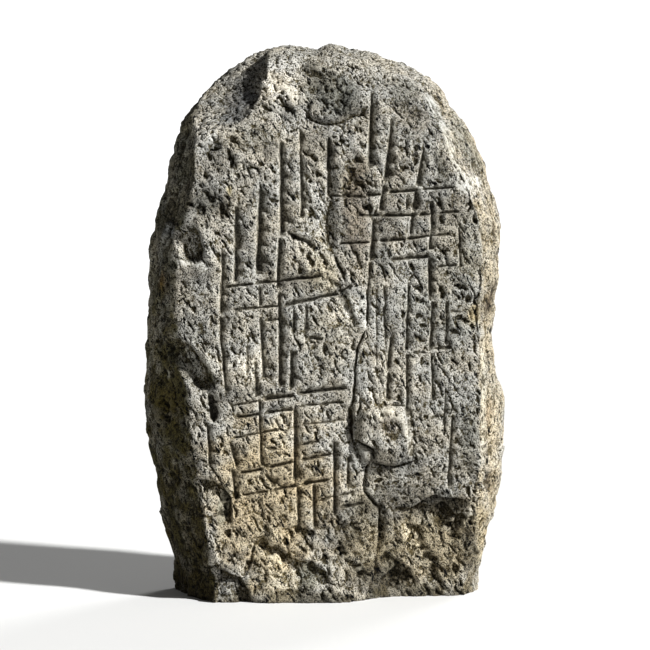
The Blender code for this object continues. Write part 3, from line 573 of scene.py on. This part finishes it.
def laidOnPlane(points, way, distance, share=1):
    # points beyond a plane are laid on it, softly: push = share * s * ln(1 + e^(beyond / s))
    normal = np.array(way) / np.linalg.norm(way)
    beyond = (points - stone["middle"]) @ normal - distance
    pushed = share * stone["planeSoftness"] * np.logaddexp(0, beyond / stone["planeSoftness"])
    return points - pushed[:, None] * normal


def brokenOff(points):
    # all broken planes, then the corners, each as far as its wall
    for way, distance in stone["planes"]:
        points = laidOnPlane(points, way, distance)
    for way, distance, wall, path in stone["corners"]:
        away, side = pathMeasures(points[:, 0], points[:, 2], metres(path))[:2]
        points = laidOnPlane(points, way, distance, smoothStep(away * side, -0.5 * wall, 0.5 * wall))
    return points


def regionStrength(front, side, back, frontShare, backShare):
    # one strength per point from its share of front and back, the rest being side
    return front * frontShare + back * backShare + side * (1 - frontShare - backShare)


def relief(points, normals, tooled):
    # height of lumps, facets, ripples, fibres and pits along the normal, the small ones not in tooled grooves
    shares = [smoothStep(way * normals[:, 1], *stone["region"]) for way in (-1, 1)]
    height = layeredNoise(points, stone["lumps"], stone["lumpSeed"])
    coarser = 1 + stone["footCoarser"] * shares[0] * smoothStep(points[:, 2], *stone["footUp"])
    for number, (wavelength, rise, *strengths) in enumerate(stone["facets"]):
        strength = rise * coarser * regionStrength(*strengths, *shares)
        height += strength * facetNoise(points / wavelength, stone["seed"] + 40 + number)
    rough = 1 - stone["tooledCalm"] * tooled
    lean = math.radians(stone["lean"])
    wander = layeredNoise(points, stone["leanWander"], stone["seed"] + 80)
    alongLean = points[:, 0] * math.sin(lean) + points[:, 2] * math.cos(lean) + wander
    acrossLean = points[:, 0] * math.cos(lean) - points[:, 2] * math.sin(lean) + wander
    for number, (wavelength, rise, *strengths) in enumerate(stone["ripples"]):
        strength = rise * rough * coarser * regionStrength(*strengths, *shares)
        place = np.column_stack([acrossLean, points[:, 1], alongLean / stone["rippleLong"]]) / wavelength
        height += strength * latticeNoise(place, stone["seed"] + 50 + number)
    broken = rough * regionStrength(*stone["pitStrength"], *shares)
    finer, weaker = stone["pitDetail"]
    for number, (wide, long, onset, full, depth) in enumerate(stone["pits"]):
        place = np.column_stack([acrossLean / wide, points[:, 1] / wide, alongLean / long])
        hollow = latticeNoise(place, stone["seed"] + 60 + number)
        hollow = hollow + weaker * latticeNoise(finer * place, stone["seed"] + 64 + number)
        height -= depth * broken * smoothStep(hollow, onset, full)
    thick, long = stone["fibreSize"]
    fibres = latticeNoise(points / (thick, thick, long), stone["seed"] + 70)
    return height + stone["fibreHeight"] * fibres * regionStrength(*stone["fibreStrength"], *shares)


def meshFromArrays(name, points, quads, triangles):
    mesh = bpy.data.meshes.new(name)
    mesh.vertices.add(len(points))
    mesh.vertices.foreach_set("co", points.astype(np.float32).ravel())
    mesh.loops.add(quads.size + triangles.size)
    mesh.loops.foreach_set("vertex_index", np.concatenate([quads.ravel(), triangles.ravel()]).astype(np.int32))
    sizes = np.concatenate([np.full(len(quads), 4), np.full(len(triangles), 3)])
    mesh.polygons.add(len(sizes))
    mesh.polygons.foreach_set("loop_start", (np.cumsum(sizes) - sizes).astype(np.int32))
    mesh.update(calc_edges=True)
    return mesh


def cutAtGround(mesh):
    # everything below z = 0 goes, and one flat face closes the underside
    solid = bmesh.new()
    solid.from_mesh(mesh)
    everything = solid.verts[:] + solid.edges[:] + solid.faces[:]
    bmesh.ops.bisect_plane(solid, geom=everything, dist=1e-6, plane_co=(0, 0, 0),
                           plane_no=(0, 0, 1), clear_inner=True)
    bmesh.ops.holes_fill(solid, edges=[edge for edge in solid.edges if edge.is_boundary], sides=0)
    bmesh.ops.triangulate(solid, faces=solid.faces[:])
    solid.to_mesh(mesh)
    solid.free()


def thinned(piece, triangles):
    # collapses edges where the surface is flattest until about that many triangles are left
    thin = piece.modifiers.new("thin", "DECIMATE")
    thin.ratio = triangles / len(piece.data.polygons)
    shown = piece.evaluated_get(bpy.context.evaluated_depsgraph_get())
    mesh = bpy.data.meshes.new_from_object(shown)
    piece.modifiers.clear()
    piece.data = mesh
    points = meshPoints(mesh)
    points[:, 2] = np.where(points[:, 2] < 0.0006, 0, points[:, 2])
    mesh.vertices.foreach_set("co", points.astype(np.float32).ravel())
    mesh.update()


def meshValues(parts, name, width, kind=np.float32):
    # one row of values for each of a mesh's parts
    values = np.zeros(width * len(parts), kind)
    parts.foreach_get(name, values)
    return values.reshape(-1, width).astype(float if kind is np.float32 else int)


def meshPoints(mesh):
    return meshValues(mesh.vertices, "co", 3)


def makeStone():
    points, quads, triangles = smoothBody()
    points = brokenOff(points)
    normals = pointNormals(points, quads, triangles)
    facesFront = smoothStep(-normals[:, 1], 0.05, 0.45)
    grooves = strokeDepths(points[:, 0], points[:, 2])
    tooled = np.clip(grooves / stone["tooledDepth"], 0, 1) * facesFront
    outward = relief(points, normals, tooled) - (breakDepth(points) + grooves) * facesFront
    print("surface worked out:", len(points), "points")
    mesh = meshFromArrays("carvedStone", points + normals * outward[:, None], quads, triangles)
    cutAtGround(mesh)
    piece = bpy.data.objects.new("carvedStone", mesh)
    bpy.context.scene.collection.objects.link(piece)
    thinned(piece, stone["triangles"])
    piece.data.shade_smooth()
    print("stone:", len(piece.data.polygons), "triangles")
    return piece


# how the stone's surface is coloured, in linear light, with painted shade and painted highlight among the
# colours
finish = {
    "stone": (0.4, 0.384, 0.35),
    # left side: partly its own dark olive colour, partly painted shade, as it faces away from the light
    "side": (0.132, 0.123, 0.084),
    "right": (0.43, 0.375, 0.285),
    "back": (0.25, 0.235, 0.2),
    # patches: centre, half sizes, turn, colour, strength; most are the rock's own stains and lichen, but some
    # are painted light: a painted shadow under the right ledge (272, 202), painted shade below the knob (120,
    # 305) and in the lower crack (85, 140), partly painted shade beside the top-left ridge (-178, 1076), and
    # partly painted highlight on the knob's upper left (95, 440) and on the pale crest (-92, 1112)
    "patches": (
        (-178, 1076, 40, 78, -34, (0.165, 0.166, 0.168), 0.85),
        (-252, 1006, 30, 40, -20, (0.62, 0.6, 0.56), 0.85), (-214, 836, 14, 24, 0, (0.13, 0.12, 0.1), 0.8),
        (-203, 876, 6, 9, 0, (0.5, 0.44, 0.26), 0.7), (62, 900, 36, 50, 0, (0.19, 0.18, 0.15), 0.6),
        (-160, 990, 45, 32, -10, (0.28, 0.265, 0.225), 0.6), (-92, 1112, 52, 60, 0, (0.58, 0.55, 0.5), 0.8),
        (6, 1098, 60, 46, -20, (0.14, 0.14, 0.125), 0.8), (50, 1080, 34, 44, 0, (0.2, 0.195, 0.17), 0.7),
        (168, 1085, 34, 34, 0, (0.21, 0.2, 0.17), 0.7), (198, 1040, 18, 14, 0, (0.15, 0.13, 0.1), 0.7),
        (66, 834, 30, 105, 0, (0.2, 0.17, 0.135), 0.75), (-6, 707, 30, 50, 10, (0.47, 0.43, 0.34), 0.7),
        (10, 560, 55, 80, 0, (0.39, 0.37, 0.32), 0.5), (255, 640, 75, 130, 0, (0.27, 0.262, 0.235), 0.6),
        (90, 560, 60, 100, 0, (0.47, 0.455, 0.42), 0.6),
        (-117, 219, 140, 170, 0, (0.45, 0.375, 0.255), 0.8),
        (240, 110, 130, 100, 0, (0.27, 0.23, 0.155), 0.8), (190, 90, 20, 70, 20, (0.42, 0.37, 0.28), 0.7),
        (272, 202, 45, 14, 0, (0.11, 0.095, 0.065), 0.8), (368, 600, 28, 430, 0, (0.41, 0.368, 0.292), 0.8),
        (308, 886, 26, 28, 0, (0.48, 0.46, 0.43), 0.8), (248, 922, 14, 42, 14, (0.15, 0.145, 0.125), 0.85),
        (310, 990, 34, 85, 24, (0.24, 0.235, 0.205), 0.75), (320, 612, 14, 26, 0, (0.5, 0.42, 0.26), 0.8),
        (127, 724, 18, 34, 0, (0.2, 0.205, 0.2), 0.6), (95, 440, 24, 50, 0, (0.5, 0.485, 0.45), 0.7),
        (120, 305, 34, 18, 0, (0.25, 0.235, 0.2), 0.6), (308, 345, 22, 60, 0, (0.26, 0.25, 0.215), 0.7),
        (355, 252, 12, 28, 0, (0.1, 0.075, 0.045), 0.85), (360, 650, 14, 36, -15, (0.24, 0.2, 0.145), 0.7),
        (312, 750, 28, 80, 0, (0.26, 0.25, 0.215), 0.6), (355, 400, 14, 30, 0, (0.3, 0.23, 0.15), 0.7),
        (-345, 680, 14, 22, 0, (0.26, 0.16, 0.05), 0.8), (-268, 535, 26, 60, 36, (0.37, 0.355, 0.32), 0.9),
        (-333, 690, 14, 70, 0, (0.24, 0.23, 0.205), 0.85),
        (-360, 548, 18, 40, 0, (0.19, 0.185, 0.165), 0.7),
        (-292, 500, 22, 36, 36, (0.28, 0.27, 0.235), 0.85),
        (-328, 532, 12, 22, 10, (0.065, 0.064, 0.045), 0.8), (-322, 570, 12, 12, 0, (0.44, 0.43, 0.4), 0.8),
        (-34, 60, 28, 30, 0, (0.19, 0.19, 0.155), 0.7), (-110, 55, 50, 50, 0, (0.45, 0.39, 0.28), 0.6),
        (-32, 1144, 16, 14, 0, (0.1, 0.095, 0.08), 0.8), (75, 1142, 80, 22, -8, (0.5, 0.485, 0.45), 0.6),
        (138, 370, 22, 26, 0, (0.31, 0.26, 0.21), 0.5), (120, 60, 36, 50, 0, (0.15, 0.13, 0.09), 0.75),
        (-255, 845, 30, 30, 0, (0.2, 0.19, 0.16), 0.7), (85, 140, 50, 110, 0, (0.24, 0.21, 0.15), 0.75),
        (350, 120, 26, 110, 10, (0.46, 0.39, 0.27), 0.75), (366, 330, 18, 90, 0, (0.52, 0.46, 0.36), 0.7),
    ),
    # darker and paler areas: partly the rock's own tone, partly painted shade in hollows, cracks and strokes
    # and under ledges, and painted light on parts facing the light: centre, half sizes, turn, factor
    "paintedShadeAndTone": (
        (175, 205, 110, 40, 8, 0.58), (30, 160, 50, 55, 0, 0.6), (192, 135, 24, 50, 12, 1.55),
        (316, 100, 22, 65, 0, 0.55), (105, 40, 75, 35, 0, 0.58), (-90, 85, 38, 75, 10, 1.38),
        (-205, 55, 26, 40, 0, 0.65), (150, 300, 70, 30, 0, 0.62), (105, 422, 36, 30, 0, 1.5),
        (-85, 370, 30, 60, 0, 1.4), (-150, 508, 45, 36, 0, 1.5), (-246, 505, 22, 34, 0, 1.45),
        (-305, 538, 20, 24, 0, 1.45), (-372, 540, 20, 36, 0, 1.5), (-180, 445, 65, 14, 8, 0.7),
        (-265, 702, 38, 24, 0, 0.5), (-30, 800, 28, 95, 0, 1.4), (50, 622, 50, 26, 20, 1.45),
        (-50, 682, 40, 26, 0, 0.65), (335, 622, 30, 24, 0, 0.58), (138, 805, 22, 38, 0, 0.65),
        (255, 838, 60, 45, 0, 0.65), (-250, 860, 45, 40, 0, 0.6), (-225, 940, 38, 40, 0, 0.68),
        (0, 975, 32, 48, 0, 0.65), (-117, 961, 20, 22, 0, 0.62), (55, 1060, 26, 32, 0, 0.7),
        (200, 1030, 60, 50, 0, 0.75), (-74, 1046, 24, 22, 0, 0.62), (-140, 1108, 36, 26, -30, 1.35),
        (-32, 1088, 20, 18, 0, 1.5), (310, 440, 26, 110, 0, 0.85),
    ),
    # smooth broken faces: centre, half sizes, turn, colour, strength; the dark one below the knob's lower left
    # (80, 318) is partly painted shade in its recess
    "smoothFaces": (
        (-337, 781, 14, 31, -18, (0.28, 0.29, 0.3), 0.9),
        (-345, 400, 34, 50, 12, (0.105, 0.095, 0.068), 0.8),
        (80, 318, 18, 22, -10, (0.2, 0.19, 0.165), 0.6), (-215, 205, 14, 40, -8, (0.19, 0.185, 0.15), 0.7),
    ),
    # arrises and ridges: half width, colour, strength, path; the pale ones are partly the rock's paler edges
    # and partly painted highlight where they face the light, and the two dark lines along cracks on the right
    # are painted shade
    "arrises": (
        (10, (0.4, 0.39, 0.36), 0.9, ((221, 1078), (240, 1042), (259, 1004), (269, 961), (278, 930),
            (300, 890))),
        (15, (0.48, 0.47, 0.44), 0.9, ((290, 884), (322, 896))),
        (6, (0.52, 0.49, 0.43), 0.8, ((115, 398), (135, 408), (160, 394), (170, 370), (178, 340), (184, 318))),
        (9, (0.52, 0.48, 0.41), 0.7, ((-115, 1125), (-85, 1100), (-58, 1070))),
        (6, (0.5, 0.47, 0.4), 0.6, ((338, 560), (340, 420), (338, 300))),
        (6, (0.72, 0.7, 0.66), 0.9, ((36, 642), (58, 612), (76, 594), (88, 592))),
        (7, (0.46, 0.45, 0.42), 0.8, ((-334, 746), (-313, 722), (-282, 724), (-252, 712))),
        (3, (0.06, 0.045, 0.03), 0.9, ((372, 682), (364, 655), (350, 622))),
        (3, (0.08, 0.06, 0.04), 0.8, ((366, 806), (370, 768))),
        (6, (0.26, 0.26, 0.245), 0.8, ((-352, 500), (-332, 474), (-300, 452))),
    ),
    # moss and foot colours darken the left side and the ground line, partly real moss and dirt and partly
    # painted shade; the dirt-and-shade colour browns dark grains and painted shade
    "mossAndShade": (0.082, 0.068, 0.018), "footDirtAndShade": (0.05, 0.04, 0.016), "dirtAndShade": (1, 0.84, 0.42, 1),
    "leftCalm": 0.2, "rightCalm": 0.2, "arrisCalm": 0.85, "faceCalm": 0.75, "grooveCalm": 0.006,
    # how far a smoothed normal is turned where a side begins and where it is whole
    "smoothRounds": 12, "frontTurn": (0.05, 0.4), "leftTurn": (0.34, 0.56), "rightTurn": (0.4, 0.65),
    "backTurn": (0, 0.5), "awayTurn": (0.25, 0),
    # wear and painted shade from convexity: rounds of smoothing, the height that counts as one, strength; dirt
    # and painted shade in grooves: strength, depths
    "fineWearAndShade": (2, 0.001, 0.5), "broadWearAndShade": (14, 0.0035, 0.6), "grooveDirtAndShade": (0.45, 0.003, 0.009),
    # noises: wavelength and strength
    "blotches": ((0.05, 1), (0.021, 0.6)), "speckle": 0.009,
    "streaks": (((0.03, 0.03, 0.09), 1), ((0.01, 0.01, 0.045), 0.5)),
    # covers of ovals: how far they reach, how ragged blotches make them, width of the border
    "patchCover": (1.35, 0.35, 0.8), "shadeCover": (1.3, 0.3, 0.7), "faceCover": (1.15, 0.1, 0.35),
    # material: size of a grain, speck and cleft; scale, detail and roughness of each noise
    "grainSize": (0.0044, 0.0044, 0.008), "speckSize": (0.002, 0.002, 0.0033),
    "cleftSize": (0.008, 0.008, 0.026), "speckNoise": (1, 2, 0.6), "cleftNoise": (1, 4, 0.7),
    "fine": (250, 2, 0.75), "medium": (70, 5, 0.65), "broad": (16, 6, 0.6),
    "warm": (1.03, 1, 0.92, 1), "cool": (0.96, 0.985, 0.995, 1),
    # what a noise becomes: from low to high, clamped and eased, turns into from this to that
    "specks": (0.425, 0.465, 0, 1), "clefts": (0.38, 0.41, 0, 1), "mediumTone": (0.36, 0.58, 0.76, 1.06),
    "specksTone": (0, 1, 0, 1.12), "cleftsTone": (0, 1, 0.06, 1), "dirtAndShadeTone": (0.05, 0.8, 1, 0),
    "grainTone": (0, 0.5, 0.7, 1.08), "fineTone": (0.38, 0.56, 0.56, 1.15), "wearAndShadeTone": (-0.8, 0.8, 0.5, 1.3),
    "wholeTone": (0.06, 1.32, 0, 1.19),  # darks go darker and the brightest grains even out
    "roughness": (0.3, 0.7, 0.82, 0.98), "bumps": (0.7, 0.12, 1.15, 0.5), "bumpDistance": 0.004,
}


def neighbourMean(values, edges, rounds):
    # each round every point takes the mean of its neighbours
    ends, others = edges.T.ravel(), edges[:, ::-1].T.ravel()
    count = np.maximum(np.bincount(ends, minlength=len(values)), 1)
    for _ in range(rounds):
        columns = [np.bincount(ends, column[others], minlength=len(values)) / count for column in values.T]
        values = np.column_stack(columns)
    return values


def paintPoints(piece):
    # per-point attributes: tint (patches laid over the ground colour, some of them painted shade and painted
    # highlight), wear and painted shade (above 0 where convex, below 0 in hollows and grooves) and calm (1
    # where the rock is smooth: in the grooves, and partly on arrises, smooth faces and the sides)
    mesh = piece.data
    points, normals = meshPoints(mesh), meshValues(mesh.vertex_normals, "vector", 3)
    edges = meshValues(mesh.edges, "vertices", 2, np.int32)
    across, up = points[:, 0], points[:, 2]

    def convexity(rounds, unit):
        # how far points stand out of the mean of their surroundings
        return np.einsum("ij,ij->i", normals, points - neighbourMean(points, edges, rounds)) / unit

    towards = neighbourMean(normals, edges, finish["smoothRounds"]).T
    facesFront = smoothStep(-towards[1], *finish["frontTurn"])
    facesLeft = smoothStep(-towards[0], *finish["leftTurn"]) * smoothStep(-towards[1], -0.9, 0.9)
    facesRight = smoothStep(towards[0], *finish["rightTurn"])
    facesBack = smoothStep(towards[1], *finish["backTurn"])
    turned = np.maximum(facesBack, facesRight * smoothStep(-towards[1], *finish["awayTurn"]))
    (*fine, fineShare), (*broad, broadShare) = finish["fineWearAndShade"], finish["broadWearAndShade"]
    # convex places paler and hollows darker: wear on the edges, dirt and painted shade in the hollows
    wearAndShade = fineShare * convexity(*fine) + broadShare * (1 - 0.7 * turned) * convexity(*broad)
    wearAndShade = np.clip(wearAndShade, -1, 1)
    blotch = layeredNoise(points, finish["blotches"], 5)
    speckle = latticeNoise(points / finish["speckle"], 8)
    tint = np.tile(np.array(finish["stone"]), (len(points), 1))

    def lay(colour, strength):
        tint[:] = tint + (np.array(colour) - tint) * np.clip(strength, 0, 1)[:, None]

    def covered(oval, reach, ragged, border):
        # 1 inside an oval on the front, 0 outside, with a ragged border
        return smoothStep(reach - ovalReach(across, up, oval) + ragged * blotch, 0, border) * facesFront

    lay(finish["back"], facesBack)
    # the left side is painted dark: partly its own olive colour, partly painted shade on the side turned from
    # the light
    lay(finish["side"], facesLeft * np.clip(0.85 + 0.35 * blotch, 0, 1))
    lay(finish["right"], facesRight * (1 - facesBack) * np.clip(0.6 + 0.6 * blotch, 0, 1))
    tint *= (1 + 0.5 * facesLeft * layeredNoise(points, finish["streaks"], 9))[:, None]
    grown, ragged, border = finish["patchCover"]
    # stains and lichen, with some painted shadow, painted shade and painted highlight among them
    for *oval, colour, strength in finish["patches"]:
        cover = covered(oval, grown + 0.12 * speckle, ragged, border)
        lay(colour, strength * cover * (1 - turned))
    # painted shade and painted light: each area scales the tint down or up, partly the rock's own tone and
    # partly shadows and lit parts painted into the colour
    for *oval, factor in finish["paintedShadeAndTone"]:
        tint *= (1 + (factor - 1) * covered(oval, *finish["shadeCover"]))[:, None]
    calm = np.maximum(finish["leftCalm"] * facesLeft, finish["rightCalm"] * facesRight)
    for *oval, colour, strength in finish["smoothFaces"]:
        cover = covered(oval, *finish["faceCover"])
        lay(colour, strength * cover)
        calm = np.maximum(calm, finish["faceCalm"] * cover)
    # colour laid along each path: pale edges, partly painted highlight, and dark crack lines that are painted
    # shade
    for half, colour, strength, path in finish["arrises"]:
        distance = pathMeasures(across, up, metres(path))[0]
        cover = smoothStep(1.5 - distance / metres(half) + 0.4 * blotch, 0, 1) * facesFront * (1 - turned)
        lay(colour, strength * cover)
        calm = np.maximum(calm, finish["arrisCalm"] * cover)
    low = smoothStep(up, 0.95, 0.25)
    # moss on the left side, darker towards the foot: partly real moss, partly painted shade
    mossyAndShaded = smoothStep(blotch + 0.5 * speckle, -0.6, 0.6) * facesLeft * (0.15 + 0.85 * low)
    lay(finish["mossAndShade"], np.clip(1.7 * mossyAndShaded, 0, 0.9))
    # left side darker towards the ground: dirt and painted shade
    lay(finish["footDirtAndShade"], 0.55 * facesLeft * smoothStep(up, 0.5, 0))
    # front darker in a ragged strip along the ground line: dirt and painted shade where it meets the floor
    lay(finish["footDirtAndShade"], 0.7 * facesFront * smoothStep(0.035 + 0.02 * blotch - up, 0, 0.03))

    grooves = strokeDepths(across, up) * facesFront
    calm = np.maximum(calm, np.clip(grooves / finish["grooveCalm"], 0, 1))
    dirtAndShade, *depths = finish["grooveDirtAndShade"]
    wearAndShade -= dirtAndShade * smoothStep(grooves, *depths)  # the bottom of a stroke is painted darker: dirt, and painted shade deep in the stroke
    tint = np.column_stack([tint, np.ones(len(points))])
    for name, kind, field, values in (("tint", "FLOAT_COLOR", "color", tint), ("wearAndShade", "FLOAT", "value", wearAndShade),
                                      ("calm", "FLOAT", "value", calm)):
        layer = mesh.attributes.new(name, kind, "POINT")
        layer.data.foreach_set(field, values.astype(np.float32).ravel())
    print("points painted")


def put(tree, kind, inputs, **settings):
    # adds a node, sets it, and gives each input a constant or a link
    node = tree.nodes.new(kind)
    for name, value in settings.items():
        setattr(node, name, value)
    for key, value in inputs.items():
        if isinstance(value, bpy.types.NodeSocket):
            tree.links.new(value, node.inputs[key])
        else:
            node.inputs[key].default_value = value
    return node


def noiseAt(tree, place, scale, detail, roughness):
    return put(tree, "ShaderNodeTexNoise", {"Vector": place, "Scale": scale, "Detail": detail,
                                            "Roughness": roughness}).outputs["Fac"]


def spread(tree, value, low, high, toLow, toHigh):
    # maps low..high to toLow..toHigh, clamped and eased
    return put(tree, "ShaderNodeMapRange", {"Value": value, "From Min": low, "From Max": high, "To Min": toLow,
                                            "To Max": toHigh}, interpolation_type="SMOOTHSTEP").outputs[0]


def combined(tree, operation, values):
    # all values multiplied or added, from the first to the last
    total = values[0]
    for value in values[1:]:
        total = put(tree, "ShaderNodeMath", {0: total, 1: value}, operation=operation).outputs[0]
    return total


def blended(tree, factor, first, second, way="MIX"):
    return put(tree, "ShaderNodeMix", {0: factor, 6: first, 7: second}, data_type="RGBA",
               blend_type=way).outputs[2]


def attribute(tree, name, output):
    return put(tree, "ShaderNodeAttribute", {}, attribute_name=name).outputs[output]


def leaned(tree, place, size):
    # place in a frame that leans the way the pits run, divided by a size
    return put(tree, "ShaderNodeMapping", {"Vector": place, "Scale": size,
                                           "Rotation": (0, math.radians(stone["lean"]), 0)},
               vector_type="TEXTURE").outputs[0]


def pittedStone():
    material = bpy.data.materials.new("pittedStone")
    material.use_nodes = True
    tree = material.node_tree
    shader = tree.nodes["Principled BSDF"]
    place = put(tree, "ShaderNodeTexCoord", {}).outputs["Object"]
    speckPlace, cleftPlace, grainPlace = (
        leaned(tree, place, finish[name]) for name in ("speckSize", "cleftSize", "grainSize"))
    specks = spread(tree, noiseAt(tree, speckPlace, *finish["speckNoise"]), *finish["specks"])
    clefts = spread(tree, noiseAt(tree, cleftPlace, *finish["cleftNoise"]), *finish["clefts"])
    grain = put(tree, "ShaderNodeTexVoronoi", {"Vector": grainPlace, "Scale": 1})
    grain = put(tree, "ShaderNodeSeparateColor", {0: grain.outputs["Color"]}).outputs[0]
    fine, broad, medium = (noiseAt(tree, place, *finish[name]) for name in ("fine", "broad", "medium"))
    wearAndShade, calm = attribute(tree, "wearAndShade", "Fac"), attribute(tree, "calm", "Fac")
    tint = attribute(tree, "tint", "Color")

    def tone(value, name):
        return spread(tree, value, *finish[name + "Tone"])

    warm, cool = (blended(tree, 1, tint, finish[name], "MULTIPLY") for name in ("warm", "cool"))
    ground = blended(tree, spread(tree, broad, 0.35, 0.65, 0, 1), cool, warm)
    rough = spread(tree, calm, 0, 1, 1, 0.3)
    # dark specks and clefts: partly the rock's own dark grains, partly painted shade in pits and crevices that
    # exist only as bumps
    dark = combined(tree, "MULTIPLY", [tone(specks, "specks"), tone(clefts, "clefts"), tone(medium, "medium"),
                                        tone(grain, "grain")])
    dark = blended(tree, rough, (0.9, 0.9, 0.9, 1), dark)
    dark = tone(combined(tree, "MULTIPLY", [dark, tone(fine, "fine"), tone(wearAndShade, "wearAndShade")]), "whole")
    dirtAndShade = combined(tree, "MULTIPLY", [tone(dark, "dirtAndShade"), spread(tree, calm, 0, 1, 1, 0.35)])
    earthy = blended(tree, dirtAndShade, ground, finish["dirtAndShade"], "MULTIPLY")  # dark grains, hollows and painted shade turn brown
    colour = put(tree, "ShaderNodeVectorMath", {0: earthy, "Scale": dark}, operation="SCALE").outputs[0]
    tree.links.new(colour, shader.inputs["Base Color"])
    tree.links.new(spread(tree, medium, *finish["roughness"]), shader.inputs["Roughness"])
    shader.inputs["Specular IOR Level"].default_value = 0.3

    layers = zip((clefts, specks, medium, fine), finish["bumps"])
    heights = [combined(tree, "MULTIPLY", layer) for layer in layers]
    bump = put(tree, "ShaderNodeBump", {"Strength": rough, "Distance": finish["bumpDistance"],
                                        "Height": combined(tree, "ADD", heights)})
    tree.links.new(bump.outputs[0], shader.inputs["Normal"])
    return material


carvedStone = makeStone()
paintPoints(carvedStone)
carvedStone.data.materials.clear()
carvedStone.data.materials.append(pittedStone())
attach(carvedStone, "root")
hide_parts("rune_stone")

room = {
    "floorHalf": 14, "floorColour": (0.72, 0.72, 0.71), "backdropColour": (1, 1, 1),
    "skyLight": 0.115,
    # each light: the way it shines, strength, angle of its disc
    "lights": (("key", (-0.82, 0.47, -0.6), 5.7, 4), ("back", (-0.5, -0.8, -0.45), 1.2, 20)),
    "cameraPlace": (0, -4.2, 0.72), "cameraAim": (0, 0, 0.5854), "lens": 105.7,
}


def makeFloor():
    half = room["floorHalf"]
    mesh = bpy.data.meshes.new("floor")
    corners = [(-half, -half, 0), (half, -half, 0), (half, half, 0), (-half, half, 0)]
    mesh.from_pydata(corners, [], [(0, 1, 2, 3)])
    floor = bpy.data.objects.new("floor", mesh)
    bpy.context.scene.collection.objects.link(floor)
    material = bpy.data.materials.new("paleFloor")
    material.use_nodes = True
    shader = material.node_tree.nodes["Principled BSDF"]
    shader.inputs["Base Color"].default_value = (*room["floorColour"], 1)
    shader.inputs["Roughness"].default_value = 0.8
    mesh.materials.append(material)


def makeLight():
    scene = bpy.context.scene
    for name, way, strength, angle in room["lights"]:
        sun = bpy.data.lights.new(name, "SUN")
        sun.energy = strength
        sun.angle = math.radians(angle)
        light = bpy.data.objects.new(name, sun)
        light.rotation_euler = Vector(way).to_track_quat("-Z", "Y").to_euler()
        scene.collection.objects.link(light)
    world = bpy.data.worlds.new("studio")
    world.use_nodes = True
    scene.world = world
    tree = world.node_tree
    tree.nodes.clear()
    colour = (*room["backdropColour"], 1)
    seen, lit = (put(tree, "ShaderNodeBackground", {"Color": colour, "Strength": strength})
                 for strength in (1, room["skyLight"]))
    ray = put(tree, "ShaderNodeLightPath", {}).outputs["Is Camera Ray"]
    both = put(tree, "ShaderNodeMixShader", {0: ray, 1: lit.outputs[0], 2: seen.outputs[0]})
    put(tree, "ShaderNodeOutputWorld", {0: both.outputs[0]})
    scene.view_settings.view_transform = "Standard"
    scene.view_settings.look = "Medium High Contrast"


def makeCamera():
    lens = bpy.data.cameras.new("camera")
    lens.lens = room["lens"]
    lens.sensor_width = 36
    camera = bpy.data.objects.new("camera", lens)
    camera.location = room["cameraPlace"]
    way = Vector(room["cameraAim"]) - Vector(room["cameraPlace"])
    camera.rotation_euler = way.to_track_quat("-Z", "Y").to_euler()
    bpy.context.scene.collection.objects.link(camera)
    bpy.context.scene.camera = camera


makeFloor()
makeLight()
makeCamera()
print("floor, light and camera ready")
